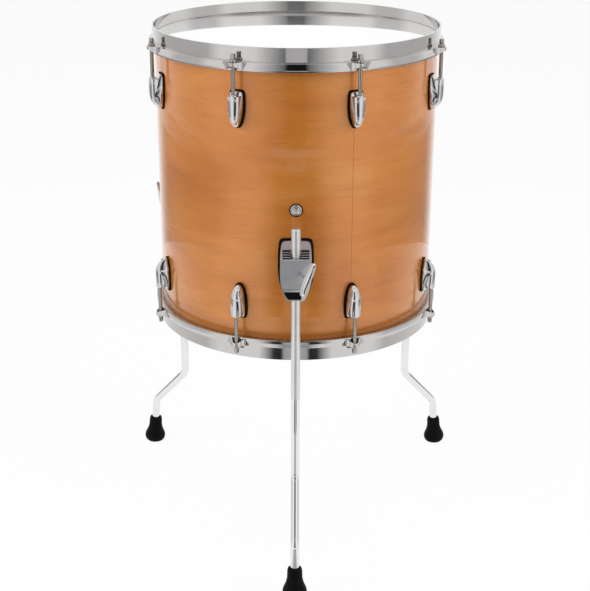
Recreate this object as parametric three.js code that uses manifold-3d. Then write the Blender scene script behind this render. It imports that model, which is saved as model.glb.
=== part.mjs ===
// Floor tom: a maple shell with two heads, cast hoops, sixteen tension rods and lugs,
// and three bent legs that slide in clamp brackets. Millimetres, +Z up.
// Pieces are drawn with their outward side towards -Y and then turned to their azimuth.
import * as THREE from "three";
import { mergeVertices } from "three/addons/utils/BufferGeometryUtils.js";
import Module from "manifold-3d";

const wasm = await Module();
wasm.setup();

// General values
const fit = 0.3; // running clearance between two pieces
const looseFit = 0.45; // wider clearance round rods, bolts and legs
const overrun = 5; // how far a cutting form passes the face that it cuts
const degree = Math.PI / 180;
const halfTurn = 180 * degree;
const halfShare = 0.5;

// Facets of the round forms
const drumSides = 40;
const smallSides = 12;
const rodSides = 8;
const legSides = 14;
const footSides = 14;

// Shell, set on the floor plane by its clearance
const shellDiameter = 406.4;
const shellDepth = 406.4;
const shellWall = 7.5;
const shellClearance = 338.6; // floor to the lower edge of the shell
const crownWidth = 1; // flat top of the bearing edge
const crownRound = 1.3; // outer relief of the bearing edge
const bevelDepth = 5.2; // inner slope of the bearing edge

// Heads and their rims
const filmThickness = 0.5;
const filmCorner = 1.3;
const collarDepth = 12.5;
const rimWidth = 5.7;
const rimHeight = 7;

// Hoops
const hoopWall = 2.7;
const hoopRise = 15.2; // hoop's edge above the head
const hoopTread = 2.8; // shoulder that presses on the rim
const shoulderDrop = 3.5; // its upper face below the edge of the shell
const skirtWall = 2.7;
const skirtBevel = 1.5;
const skirtDrop = 8.7; // skirt below the shoulder

// Tension rods and the ears that carry them
const rodCount = 8;
const rodOffset = 13.8; // rod axis from the shell's face
const rodDiameter = 5.5;
const washerDiameter = 10.4;
const washerThickness = 1.4;
const headCone = 1.2;
const keyWidth = 6;
const keyHeight = 9.2;
const rodReach = 67.8; // rod below the hoop's shoulder
const earReach = 7; // ear past the rod axis
const earWidth = 32;
const earPlate = 3.2;
const earPocketWall = 2.4;
const earShares = [[-1, 0], [-0.56, 0.62], [-0.2, 1], [0.2, 1], [0.56, 0.62], [1, 0]];
const pocketWidthShare = 0.6;

// Lugs: lower gasket plate, oval base with a sloping rim, nose with a ridge over the swivel nut
const lugDepth = 67.5; // shell's edge to the lug's middle
const lugHeight = 52;
const lugWidth = 23.4;
const lugGasket = 1.6;
const lugGasketRim = 1.7; // gasket showing round the base
const baseLow = 2.6; // height of the base's rim at the rod end
const baseHigh = 13; // height of the base's rim at the tip
const baseDraftShare = 0.88;
const baseTipShare = 0.56;
const noseWidth = 15;
const noseTop = 19; // rod-end face above the lug's middle
const noseTip = 19.4; // tip below the lug's middle
const noseRidge = 20.6; // ridge above the shell's face
const collarDiameter = 8.6;
const collarHeight = 2.2;
const lugBoreDepth = 29;
const lugOutlineShares = [[0.64, 1], [0.9, 0.88], [1, 0.36], [0.93, -0.25], [0.62, -0.78], [0.16, -1]];
// Nose sections from the rod end to the tip: height, width, shoulder and ridge
const noseShares = [
  [1, 0.88, 0.76, 0.955], [0.78, 1, 0.79, 0.985], [0.2, 1, 0.79, 1], [-0.42, 0.82, 0.76, 0.985],
  [-0.8, 0.5, 0.7, 0.92], [-1, 0.12, 0.6, 0.76],
];

// Air vent
const ventFlange = 16;
const ventFlangeThickness = 2;
const ventTube = 11;
const ventBore = 8.4;
const ventLip = 1;

// Legs, in the upright plane through the drum's axis
const legAngle = 126.4; // azimuth of the two rear legs
const legDiameter = 12.7;
const legSleeve = 12.9; // upper section
const legOffset = 27.6; // leg axis from the shell's face
const legRise = 66.7; // leg above the bracket's middle
const legSleeveBottom = 274;
const legChamfer = 1.6;
const legGroove = 0.5;
const legGrooveHeight = 398;
const legGrooveWidth = 2;
const kneeHeight = 149.6;
const ankleHeight = 77.8;
const kneeOut = 68.7; // outward run between knee and ankle
const toeOut = 7.1; // outward run between ankle and floor
const bendRadius = 24;
const bendSteps = 3;
const legEnd = 14;

// Feet
const footHeight = 46;
const footDiameter = 35;
const footNeck = 21;
const footBoreFloor = 11;
const footShares = [[0.88, 0], [1, 0.09], [0.97, 0.23], [0.78, 0.42], [0.63, 0.56]];
const footRibs = 2;
const footRibDepth = 0.9;
const footRibBand = 16;

// Leg brackets: cast body, black isolation moulding, clamp shoe and wing bolt
const bracketDrop = 84; // bracket's middle below the middle of the shell
const gasketHeight = 88.8;
const gasketWidth = 49.2;
const gasketThickness = 1.7;
const bodyMargin = 3.2; // gasket showing round the casting
const plateThickness = 7;
const browDepth = 14.3; // sloping top of the casting
const blockReach = 37.5;
const blockEdge = 3;
const blockLip = 3; // lip along the lower edge of the front block
const lipGroove = 1; // groove above the lip
const shelfRise = 7.4; // underside of the shelf above the casting's lower end
const shelfReach = 36.5;
const shelfThickness = 2.2;
const insertDepth = 11.4; // opening between the block and the shelf
const insertReach = 36.3;
const insertRight = 7.5; // right end of the insert, from the leg's axis
const insertFrame = 1.5; // casting left round the insert
const tongueWidth = 8;
const tongueInset = 2.4;
const windowNear = 5.6; // inner end of a window, from the leg's axis
const windowWidth = 11.4;
const windowDepth = 5; // below the upper edge of the front block
const windowStartShare = 0.4;
const windowEndShare = 0.95;
const louvreCount = 3;
const louvreThickness = 1.4;
const bracketShares = [
  [0.6, 1], [0.83, 0.965], [0.93, 0.86], [0.98, 0.6], [1, 0.2], [0.985, -0.2],
  [0.92, -0.5], [0.76, -0.78], [0.42, -1],
];
// The same outline at the front of the casting, which narrows below
const bracketFrontShares = [
  [0.6, 1], [0.83, 0.965], [0.92, 0.86], [0.97, 0.6], [0.99, 0.2], [0.95, -0.2],
  [0.84, -0.42], [0.7, -0.62], [0.42, -0.83],
];

// Wing bolt and clamp shoe, on an axis turned to the right of straight outward
const boltAngle = 27;
const boltRise = 5.7; // bolt axis above the bracket's middle
const boltDiameter = 6;
const boltTipDiameter = 4.4;
const boltTipLength = 3;
const spotDistance = 11.4; // spot face from the leg's axis
const spotCornerOut = 1.4; // corner of the spot face's upper edge, right of the bolt
const spotCornerUp = 3.5; // and above it
const spotSlope = 55; // upper edge past the corner, from level
const bossDiameter = 14;
const bossHeight = 5.6;
const shoeDiameter = 8.8;
const shoeLength = 4.8;
const shoeTravel = 1.8;
const shoeSocketDepth = 3;
const hubDiameter = 10;
const hubLength = 12;
const hubCrownShare = 0.75;
const hubNeckShare = 0.5;
const wingReach = 36; // outer face of the wing from the leg's axis
const wingSpan = 48;
const wingWidth = 9.2;
const wingDepth = 8.2;
const wingTrough = 1.7; // hollow in the outer face
const wingRim = 1.5;
const wingTilt = 24;
// Wing sections along the span: place, width and depth
const wingShares = [
  [-1, 0.46, 0.28], [-0.93, 0.72, 0.4], [-0.5, 0.88, 0.74], [0, 1, 1], [0.5, 0.88, 0.74],
  [0.93, 0.72, 0.4], [1, 0.46, 0.28],
];
const wingKeelShare = 0.5;

// Worked out from the values above
const shellRadius = shellDiameter / 2;
const shellTop = shellClearance + shellDepth;
const shellMiddle = shellClearance + shellDepth / 2;
const filmRadius = shellRadius + fit + filmThickness;
const rimInner = filmRadius + fit;
const rimOuter = rimInner + rimWidth;
const headTop = fit + filmThickness; // above the shell's edge
const hoopInner = rimInner;
const hoopOuter = hoopInner + hoopWall;
const hoopTop = headTop + hoopRise;
const shoulderTop = -shoulderDrop;
const treadBottom = shoulderTop - hoopTread;
const skirtInner = rimOuter + fit;
const skirtOuter = skirtInner + skirtWall;
const skirtBottom = treadBottom - skirtDrop;
const rodCircle = shellRadius + rodOffset;
const earOuter = rodCircle + earReach;
const rodBoreRadius = rodDiameter / 2 + looseFit;
const legCircle = shellRadius + legOffset;
const legBoreRadius = legSleeve / 2 + looseFit;
const footCircle = legCircle + kneeOut + toeOut;
const bracketHeight = shellMiddle - bracketDrop;
const legTop = bracketHeight + legRise;

const maple = new THREE.MeshStandardMaterial({ color: 0xb9793f, roughness: 0.25, metalness: 0 });
const chrome = new THREE.MeshStandardMaterial({ color: 0xd9dadc, roughness: 0.08, metalness: 1 });
const satin = new THREE.MeshStandardMaterial({ color: 0xa7a5a6, roughness: 0.28, metalness: 1 });
const black = new THREE.MeshStandardMaterial({ color: 0x161412, roughness: 0.6, metalness: 0 });
const white = new THREE.MeshStandardMaterial({ color: 0xf7f7f6, roughness: 0.2, metalness: 0 });
const clear = new THREE.MeshStandardMaterial({ color: 0xe4e6e6, roughness: 0.15, metalness: 0 });
const alloy = new THREE.MeshStandardMaterial({ color: 0x9b9da0, roughness: 0.35, metalness: 1 });

// A closed three.js geometry as a solid with its faces out.
function solid(geometry) {
  const bare = geometry.clone();
  for (const extra of ["normal", "uv"]) bare.deleteAttribute(extra);
  const welded = mergeVertices(bare, 1e-4);
  const corners = welded.index.array;
  const kept = [];
  for (let i = 0; i < corners.length; i += 3) {
    const [a, b, c] = corners.subarray(i, i + 3);
    if (a !== b && b !== c && c !== a) kept.push(a, b, c);
  }
  const made = fromFaces(welded.attributes.position.array, kept);
  return made.volume() < 0 ? fromFaces(welded.attributes.position.array, kept.reverse()) : made;
}

function fromFaces(points, faces) {
  return new wasm.Manifold(new wasm.Mesh({
    numProp: 3, vertProperties: new Float32Array(points), triVerts: new Uint32Array(faces),
  }));
}

function meshOf(name, made, material) {
  const { vertProperties, triVerts } = made.getMesh();
  const geometry = new THREE.BufferGeometry();
  geometry.setAttribute("position", new THREE.BufferAttribute(vertProperties, 3));
  geometry.setIndex(new THREE.BufferAttribute(triVerts, 1));
  geometry.computeVertexNormals();
  const mesh = new THREE.Mesh(geometry, material);
  mesh.name = name;
  return mesh;
}

// A profile of [radius, height] pairs turned about Z.
function revolve(profile, sides) {
  const points = profile.map(([r, z]) => new THREE.Vector2(r, z));
  return new THREE.LatheGeometry(points, sides).rotateX(halfTurn / 2);
}

// A round bar along Z from one height to another.
function bar(radius, low, high, sides = smallSides) {
  const length = high - low;
  return new THREE.CylinderGeometry(radius, radius, length, sides)
    .rotateX(halfTurn / 2)
    .translate(0, 0, low + length / 2);
}

function shapeOf(points) {
  return new THREE.Shape(points.map(([x, y]) => new THREE.Vector2(x, y)));
}

// An outline of [x, z] pairs, seen from outside, extruded from one distance to another from the shell.
function outward(points, near, far) {
  return new THREE.ExtrudeGeometry(shapeOf(points), { depth: far - near, bevelEnabled: false })
    .rotateX(halfTurn / 2)
    .translate(0, -near, 0);
}

// A side profile of [outward distance, height] pairs extruded across a width centred on x.
function across(points, width, x = 0) {
  return new THREE.ExtrudeGeometry(shapeOf(points), { depth: width, bevelEnabled: false })
    .rotateX(halfTurn / 2)
    .rotateZ(-halfTurn / 2)
    .translate(x + width / 2, 0, 0);
}

function box(width, near, far, low, high, x = 0) {
  return new THREE.BoxGeometry(width, far - near, high - low)
    .translate(x, -(near + far) / 2, (low + high) / 2);
}

// Right half of an outline in shares, mirrored into a closed loop.
function mirrored(shares, halfWidth, halfHeight) {
  const right = shares.map(([x, z]) => [x * halfWidth, z * halfHeight]);
  const left = right.map(([x, z]) => [-x, z]).reverse();
  return [...right, ...left];
}

// Rings of points joined by quads and closed with a fan on each end.
function loft(rings) {
  const count = rings[0].length;
  const points = rings.flat(2);
  const faces = [];
  for (let r = 0; r + 1 < rings.length; r++)
    for (let i = 0; i < count; i++) {
      const a = r * count + i;
      const b = r * count + ((i + 1) % count);
      faces.push(a, b, a + count, b, b + count, a + count);
    }
  const last = (rings.length - 1) * count;
  for (let i = 1; i + 1 < count; i++) {
    faces.push(0, i + 1, i);
    faces.push(last, last + i, last + i + 1);
  }
  const geometry = new THREE.BufferGeometry();
  geometry.setAttribute("position", new THREE.BufferAttribute(new Float32Array(points), 3));
  geometry.setIndex(faces);
  return geometry;
}

function drumRing(inner, outer, low, high) {
  return solid(revolve([[inner, low], [outer, low], [outer, high], [inner, high], [inner, low]], drumSides));
}

// Shell, with a bearing edge at each end and the hole for the vent.
function makeShell() {
  const inner = shellRadius - shellWall;
  const edge = (z, side) => [
    [shellRadius, z - side * crownRound],
    [shellRadius - crownRound, z],
    [shellRadius - crownRound - crownWidth, z],
    [inner, z - side * bevelDepth],
  ];
  const profile = [...edge(0, -1).reverse(), ...edge(shellDepth, 1)];
  const made = solid(revolve([...profile, profile[0]], drumSides));
  const hole = bar(ventTube / 2 + fit, -overrun, shellWall + overrun)
    .rotateX(-halfTurn / 2)
    .translate(0, -shellRadius, shellDepth / 2);
  return made.subtract(solid(hole));
}

// Vent: an outer flange, a tube through the shell and a rolled lip inside.
function makeVent() {
  const lip = ventTube / 2 + ventLip + fit;
  const back = -shellWall - fit - lip * Math.tan(halfTurn / drumSides);
  const profile = [
    [ventBore / 2, back - ventLip], [lip, back - ventLip], [lip, back],
    [ventTube / 2, back], [ventTube / 2, fit],
    [ventFlange / 2, fit], [ventFlange / 2 - ventFlangeThickness / 2, fit + ventFlangeThickness],
    [ventBore / 2 + ventLip, fit + ventFlangeThickness], [ventBore / 2, fit + ventFlangeThickness / 2],
    [ventBore / 2, back - ventLip],
  ];
  return solid(revolve(profile, smallSides).rotateX(halfTurn / 2));
}

function makeHead() {
  const inner = filmRadius - filmThickness;
  const corner = filmCorner * halfShare;
  const profile = [
    [0, headTop], [filmRadius - filmCorner, headTop], [filmRadius, headTop - filmCorner],
    [filmRadius, -collarDepth], [inner, -collarDepth], [inner, -corner],
    [inner - corner, fit], [0, fit],
  ];
  return solid(revolve(profile, drumSides));
}

function makeRim() {
  return drumRing(rimInner, rimOuter, treadBottom - fit - rimHeight, treadBottom - fit);
}

// Cast hoop: upright wall, shoulder, skirt and eight hollow ears.
function makeHoop() {
  const profile = [
    [hoopInner, hoopTop], [hoopOuter, hoopTop], [hoopOuter, shoulderTop],
    [skirtOuter - skirtBevel, shoulderTop], [skirtOuter, shoulderTop - skirtBevel],
    [skirtOuter, skirtBottom], [skirtInner, skirtBottom], [skirtInner, treadBottom],
    [hoopInner, treadBottom], [hoopInner, hoopTop],
  ];
  let made = solid(revolve(profile, drumSides));
  const ear = makeEar();
  const holes = makeEarCut();
  for (let i = 0; i < rodCount; i++) made = made.add(turned(ear, rodAzimuth(i)));
  for (let i = 0; i < rodCount; i++) made = made.subtract(turned(holes, rodAzimuth(i)));
  return made;
}

function rodAzimuth(i) {
  return ((i + halfShare) * 2 * halfTurn) / rodCount;
}

function turned(made, angle) {
  return made.transform(new THREE.Matrix4().makeRotationZ(angle).elements);
}

// Plan outline of an ear, from a radius on the hoop to its outer end.
function earPlan(width, near, far) {
  return earShares.map(([x, r]) => [(x * width) / 2, -(near + r * (far - near))]);
}

function upright(points, low, high) {
  return new THREE.ExtrudeGeometry(shapeOf(points), { depth: high - low, bevelEnabled: false })
    .translate(0, 0, low);
}

function makeEar() {
  const near = (skirtInner + skirtOuter) / 2;
  return solid(upright(earPlan(earWidth, near, earOuter), skirtBottom, shoulderTop));
}

// The hollow under the ear's plate and the rod's hole through it.
function makeEarCut() {
  const plan = earPlan(earWidth * pocketWidthShare, skirtOuter + fit, earOuter - earPocketWall);
  const pocket = solid(upright(plan, skirtBottom - overrun, shoulderTop - earPlate));
  const hole = bar(rodBoreRadius, skirtBottom - overrun, shoulderTop + overrun, rodSides)
    .translate(0, -rodCircle, 0);
  return pocket.add(solid(hole));
}

// Tension rod with its washer, cone and square key head.
function makeRod() {
  const seat = shoulderTop + fit;
  const coneLow = seat + washerThickness;
  const end = shoulderTop - rodReach;
  const profile = [
    [0, end], [rodDiameter / 2, end], [rodDiameter / 2, seat], [washerDiameter / 2, seat],
    [washerDiameter / 2, coneLow], [keyWidth / Math.SQRT2, coneLow + headCone], [0, coneLow + headCone],
  ];
  const key = new THREE.BoxGeometry(keyWidth, keyWidth, keyHeight)
    .translate(0, 0, coneLow + keyHeight / 2);
  return solid(revolve(profile, rodSides)).add(solid(key));
}

// Lug, with its rod end up and its middle at the origin.
function makeLug() {
  const half = lugHeight / 2;
  const gasketTop = fit + lugGasket;
  const gasket = solid(outward(mirrored(lugOutlineShares, lugWidth / 2, half), fit, gasketTop));
  const baseWidth = lugWidth / 2 - lugGasketRim;
  const baseHalf = half - lugGasketRim;
  const plan = mirrored(lugOutlineShares, baseWidth, baseHalf);
  const low = plan.map(([x, z]) => [x, -(gasketTop - lugGasket / 2), z]);
  const high = plan.map(([x, z]) => rimPoint(x, z, baseHalf, gasketTop));
  const base = solid(loft([low, high]));
  const nose = solid(loft(noseShares.map((share) => noseSection(share, gasketTop))));
  const top = noseTop + collarHeight;
  const collar = solid(bar(collarDiameter / 2, 0, top, rodSides).translate(0, -rodOffset, 0));
  const floor = top - lugBoreDepth;
  const bore = solid(bar(rodBoreRadius, floor, top + overrun, rodSides).translate(0, -rodOffset, 0));
  return gasket.add(base).add(nose).add(collar).subtract(bore);
}

// A point of the base's rim, which rises and leans in from the rod end to the tip.
function rimPoint(x, z, half, floor) {
  const share = (half - z) / (2 * half);
  const lean = baseDraftShare + (baseTipShare - baseDraftShare) * share;
  return [x * lean, -(floor + baseLow + (baseHigh - baseLow) * share), z * baseDraftShare];
}

// One section of the nose: flat cheeks, sloping shoulders and a ridge.
function noseSection([height, width, shoulder, ridge], floor) {
  const x = (width * noseWidth) / 2;
  const z = height > 0 ? height * noseTop : height * noseTip;
  const half = [[x, floor - lugGasket / 2], [x, shoulder * noseRidge]];
  const left = half.map(([a, b]) => [-a, b]).reverse();
  return [...half, [0, ridge * noseRidge], ...left].map(([a, b]) => [a, -b, z]);
}

// Upright plane path of a leg: points and tangents as [outward, height].
function legPath() {
  const knee = [legCircle, kneeHeight];
  const ankle = [legCircle + kneeOut, ankleHeight];
  const floor = [footCircle, 0];
  const start = [legCircle, legSleeveBottom + overrun];
  const lean = Math.atan2(toeOut, ankleHeight);
  const end = [footCircle - legEnd * Math.tan(lean), legEnd];
  const stations = [{ at: start, along: direction(start, knee) }];
  for (const [before, corner, after] of [[start, knee, ankle], [knee, ankle, floor]])
    stations.push(...bend(before, corner, after));
  stations.push({ at: end, along: direction(ankle, floor) });
  return stations;
}

function direction(from, to) {
  const v = new THREE.Vector2(to[0] - from[0], to[1] - from[1]).normalize();
  return [v.x, v.y];
}

// Arc of the bend radius that rounds a corner, as stations.
function bend(before, corner, after) {
  const [ax, ay] = direction(before, corner);
  const [bx, by] = direction(corner, after);
  const turn = Math.acos(ax * bx + ay * by);
  const side = Math.sign(ax * by - ay * bx);
  const setback = bendRadius * Math.tan(turn / 2);
  const start = [corner[0] - ax * setback, corner[1] - ay * setback];
  const centre = [start[0] - ay * side * bendRadius, start[1] + ax * side * bendRadius];
  const stations = [];
  for (let i = 0; i <= bendSteps; i++) {
    const a = (side * turn * i) / bendSteps;
    const along = [ax * Math.cos(a) - ay * Math.sin(a), ax * Math.sin(a) + ay * Math.cos(a)];
    const at = [centre[0] + along[1] * side * bendRadius, centre[1] - along[0] * side * bendRadius];
    stations.push({ at, along });
  }
  return stations;
}

// A curve through given stations, one step for each.
class StationCurve extends THREE.Curve {
  constructor(stations) {
    super();
    this.stations = stations;
  }

  station(u) {
    return this.stations[Math.round(u * (this.stations.length - 1))];
  }

  getPointAt(u) {
    const { at } = this.station(u);
    return new THREE.Vector3(0, -at[0], at[1]);
  }

  getTangentAt(u) {
    const { along } = this.station(u);
    return new THREE.Vector3(0, -along[0], along[1]);
  }
}

// Leg: a turned upper section with a chamfered end and a groove, and a bent lower section.
function makeLeg() {
  const sleeve = legSleeve / 2;
  const grooveLow = legGrooveHeight - legGrooveWidth / 2;
  const grooveHigh = legGrooveHeight + legGrooveWidth / 2;
  const profile = [
    [0, legSleeveBottom], [sleeve, legSleeveBottom], [sleeve, grooveLow],
    [sleeve - legGroove, grooveLow], [sleeve - legGroove, grooveHigh], [sleeve, grooveHigh],
    [sleeve, legTop - legChamfer], [sleeve - legChamfer, legTop], [0, legTop],
  ];
  const upper = solid(revolve(profile, legSides).translate(0, -legCircle, 0));
  const stations = legPath();
  const section = new THREE.Shape(circlePoints(legDiameter / 2, legSides));
  const lower = new THREE.ExtrudeGeometry(section, {
    steps: stations.length - 1, extrudePath: new StationCurve(stations),
  });
  return upper.add(solid(lower));
}

function circlePoints(radius, sides) {
  const points = [];
  for (let i = 0; i < sides; i++) {
    const a = (2 * halfTurn * i) / sides;
    points.push(new THREE.Vector2(radius * Math.cos(a), radius * Math.sin(a)));
  }
  return points;
}

// Rubber foot: a domed base, a ribbed neck and a socket for the leg, flat on the floor.
function makeFoot() {
  const radius = footDiameter / 2;
  const neck = footNeck / 2;
  const socket = legDiameter / 2 + looseFit;
  const profile = footShares.map(([r, z]) => [r * radius, z * footHeight]);
  const ribStart = footHeight - footRibBand;
  const ribStep = footRibBand / (footRibs * 2);
  for (let i = 0; i < footRibs * 2; i++) {
    const r = neck - (i % 2 ? footRibDepth : 0);
    profile.push([r, ribStart + (i + halfShare) * ribStep]);
  }
  profile.push([neck, footHeight], [socket, footHeight], [socket, footBoreFloor], [0, footBoreFloor]);
  const below = [[0, -overrun], [profile[0][0], -overrun]];
  const lean = Math.atan2(toeOut, ankleHeight);
  const made = solid(revolve([...below, ...profile], footSides).rotateX(-lean).translate(0, -footCircle, 0));
  const floor = new THREE.BoxGeometry(footDiameter * 2, footDiameter * 2, overrun * 2)
    .translate(0, -footCircle, -overrun);
  return made.subtract(solid(floor));
}

// Outline of the bracket seen from outside, less a margin.
function bracketOutline(shares, margin) {
  return mirrored(shares, gasketWidth / 2 - margin, gasketHeight / 2 - margin);
}

// The casting's outer form: its outline drawn out from the shell and narrowed to the front.
function bracketBody(margin, reach) {
  const at = (shares, r) => bracketOutline(shares, margin).map(([x, z]) => [x, -r, z]);
  return solid(loft([at(bracketShares, -overrun), at(bracketFrontShares, reach)]));
}

// Everything within a radius of the drum's axis, in the bracket's frame. Its flats touch the radius.
function drumCore(radius) {
  const corner = radius / Math.cos(halfTurn / drumSides);
  return solid(bar(corner, -gasketHeight, gasketHeight, drumSides).translate(0, shellRadius, 0));
}

// Heights of the casting's forms, from its middle.
function bracketLevels() {
  const top = gasketHeight / 2 - bodyMargin;
  const shelfLow = shelfRise - top;
  const shelfTop = shelfLow + shelfThickness;
  return { top, blockTop: top - browDepth, blockLow: shelfTop + insertDepth, shelfTop, shelfLow };
}

// Casting's side profile: plate, sloping brow, front block with its lip, and lower shelf.
function bracketProfile() {
  const { top, blockTop, blockLow, shelfTop, shelfLow } = bracketLevels();
  const back = -overrun;
  const lipTop = blockLow + blockLip;
  return [
    [back, top], [plateThickness, top], [blockReach - blockEdge, blockTop],
    [blockReach, blockTop - blockEdge], [blockReach, lipTop + lipGroove], [blockReach - lipGroove, lipTop],
    [blockReach, lipTop - lipGroove], [blockReach - lipGroove, blockLow],
    [shelfReach, shelfTop], [shelfReach - shelfThickness / 2, shelfLow], [plateThickness, -top], [back, -top],
  ];
}

// A form drawn along Z, laid on the bolt's axis: Z becomes the distance from the leg's axis.
function onBolt(geometry) {
  return geometry
    .rotateX(halfTurn / 2)
    .rotateZ(boltAngle * degree)
    .translate(0, -legOffset, boltRise);
}

// The round space of a leg, over the height of the bracket.
function legSpace(radius, sides) {
  return solid(bar(radius, -gasketHeight, gasketHeight, sides).translate(0, -legOffset, 0));
}

function makeBracket() {
  const casting = solid(across(bracketProfile(), gasketWidth))
    .intersect(bracketBody(bodyMargin, blockReach + overrun))
    .subtract(drumCore(shellRadius + fit + gasketThickness + fit))
    .subtract(insertForm(0));
  const boss = solid(onBolt(bar(bossDiameter / 2, spotDistance - overrun, spotDistance + bossHeight)));
  let made = casting.subtract(spotCut()).add(boss).subtract(legSpace(legBoreRadius, legSides));
  made = made.subtract(solid(boltBore())).subtract(tongueForm(fit));
  for (const side of [-1, 1]) made = cutWindow(made, side);
  return made;
}

// Corner cut from the block for the bolt's boss: flat behind, with a rising upper edge.
function spotCut() {
  const run = gasketWidth;
  const rise = run * Math.tan(spotSlope * degree);
  const outline = [
    [-run, spotCornerUp], [-run, -gasketHeight], [run, -gasketHeight],
    [spotCornerOut + run, spotCornerUp + rise], [spotCornerOut, spotCornerUp],
  ];
  const cut = new THREE.ExtrudeGeometry(shapeOf(outline), { depth: blockReach, bevelEnabled: false });
  return solid(onBolt(cut.translate(0, 0, spotDistance)));
}

// Bore for the shoe, stepped down to the bolt.
function boltBore() {
  const wide = shoeDiameter / 2 + looseFit;
  const narrow = boltDiameter / 2 + looseFit;
  const step = shoeStart() + shoeLength + shoeTravel + fit;
  const end = spotDistance + bossHeight + overrun;
  const profile = [[0, 0], [wide, 0], [wide, step], [narrow, step], [narrow, end], [0, end]];
  return onBolt(revolve(profile, smallSides));
}

function shoeStart() {
  return legSleeve / 2 + fit;
}

// Space for the insert in the casting's lower front, or the insert itself with a gap round it.
function insertForm(gap) {
  const { blockLow, shelfTop } = bracketLevels();
  const width = gasketWidth / 2 + insertRight;
  const front = gap ? insertReach : blockReach + overrun;
  const space = box(width - gap, plateThickness + gap, front, shelfTop + gap, blockLow - gap);
  space.translate(insertRight - gap - (width - gap) / 2, 0, 0);
  return solid(space).intersect(bracketBody(bodyMargin + insertFrame + gap, blockReach + overrun));
}

// Tongue that joins the insert to the gasket through the plate, or its window in the plate.
function tongueForm(gap) {
  const { blockLow, shelfTop } = bracketLevels();
  const low = shelfTop + tongueInset - gap;
  const high = blockLow - tongueInset + gap;
  return solid(box(tongueWidth + 2 * gap, -overrun, plateThickness + overrun, low, high));
}

// Louvred window beside the leg, sunk from above into the lower part of the brow.
function cutWindow(made, side) {
  const { top, blockTop } = bracketLevels();
  const gapCount = louvreCount + 1;
  const brow = blockReach - blockEdge - plateThickness;
  const length = brow * (windowEndShare - windowStartShare);
  const gap = (length - louvreCount * louvreThickness) / gapCount;
  const x = side * (windowNear + windowWidth / 2);
  for (let i = 0; i < gapCount; i++) {
    const near = plateThickness + brow * windowStartShare + i * (gap + louvreThickness);
    made = made.subtract(solid(box(windowWidth, near, near + gap, blockTop - windowDepth, top + overrun, x)));
  }
  return made;
}

// Black moulding: a gasket against the shell and, through the plate, the insert round the leg.
function makeGasket() {
  const outer = drumCore(shellRadius + fit + gasketThickness);
  const inner = drumCore(shellRadius + fit);
  const skin = solid(outward(bracketOutline(bracketShares, 0), -overrun, overrun)).intersect(outer);
  const moulding = skin.add(tongueForm(0)).subtract(inner).add(insertForm(fit));
  return moulding.subtract(legSpace(legBoreRadius, legSides));
}

// Clamp shoe: hollowed to the leg in front, with a socket for the bolt's tip behind.
function makeShoe() {
  const start = shoeStart();
  const end = start + shoeLength;
  const leg = legSpace(legSleeve / 2 + fit, legSides * 2);
  const socket = solid(onBolt(bar(boltTipDiameter / 2 + fit, end - shoeSocketDepth, end + overrun)));
  return solid(onBolt(bar(shoeDiameter / 2, start - fit * 2, end))).subtract(leg).subtract(socket);
}

// Wing bolt: a stepped shank, a hub and a boat-shaped wing with a hollow outer face.
function makeWingBolt() {
  const shoulder = shoeStart() + shoeLength + shoeTravel + fit;
  const hubLow = spotDistance + bossHeight + fit;
  const hubHigh = hubLow + hubLength;
  const profile = [
    [0, shoulder - boltTipLength], [boltTipDiameter / 2, shoulder - boltTipLength],
    [boltTipDiameter / 2, shoulder], [boltDiameter / 2, shoulder], [boltDiameter / 2, hubLow],
    [hubDiameter / 2, hubLow], [hubDiameter / 2, hubLow + hubLength * hubNeckShare],
    [hubDiameter / 2 * hubCrownShare, hubHigh], [0, hubHigh],
  ];
  const tilted = (section) => solid(onBolt(loft(wingShares.map(section)).rotateZ(-wingTilt * degree)));
  const wing = tilted(wingSection).subtract(tilted(troughSection));
  return solid(onBolt(revolve(profile, rodSides))).add(wing);
}

// One section of the wing, flat outside and rounded towards the hub.
function wingSection([along, width, depth]) {
  const x = (width * wingWidth) / 2;
  const back = wingReach - depth * wingDepth;
  const side = (wingReach + back) / 2;
  const right = [[x, wingReach], [x, side], [x * wingKeelShare, back]];
  const left = right.map(([a, z]) => [-a, z]).reverse();
  return [...right, ...left].map(([a, z]) => [a, (along * wingSpan) / 2, z]);
}

// One section of the hollow in the wing's outer face.
function troughSection([along, width]) {
  const x = (width * wingWidth) / 2 - wingRim;
  const y = along * (wingSpan / 2 - wingRim);
  const low = wingReach - wingTrough;
  const high = wingReach + overrun;
  return [[x, low], [x, high], [-x, high], [-x, low]].map(([a, z]) => [a, y, z]);
}

// One end of the drum: head, rim, hoop, rods and lugs, with Z pointing away from the shell.
function makeEnd(side, film) {
  const end = new THREE.Group();
  end.add(meshOf(`${side}_head`, makeHead(), film));
  end.add(meshOf(`${side}_head_rim`, makeRim(), alloy));
  end.add(meshOf(`${side}_hoop`, makeHoop(), chrome));
  const rod = makeRod();
  const lug = makeLug();
  for (let i = 0; i < rodCount; i++) {
    const station = new THREE.Group();
    const rodMesh = meshOf(`${side}_rod_${i + 1}`, rod, chrome);
    rodMesh.position.y = -rodCircle;
    const lugMesh = meshOf(`${side}_lug_${i + 1}`, lug, chrome);
    lugMesh.position.set(0, -shellRadius, -lugDepth);
    station.add(rodMesh, lugMesh);
    station.rotation.z = rodAzimuth(i);
    end.add(station);
  }
  return end;
}

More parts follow.
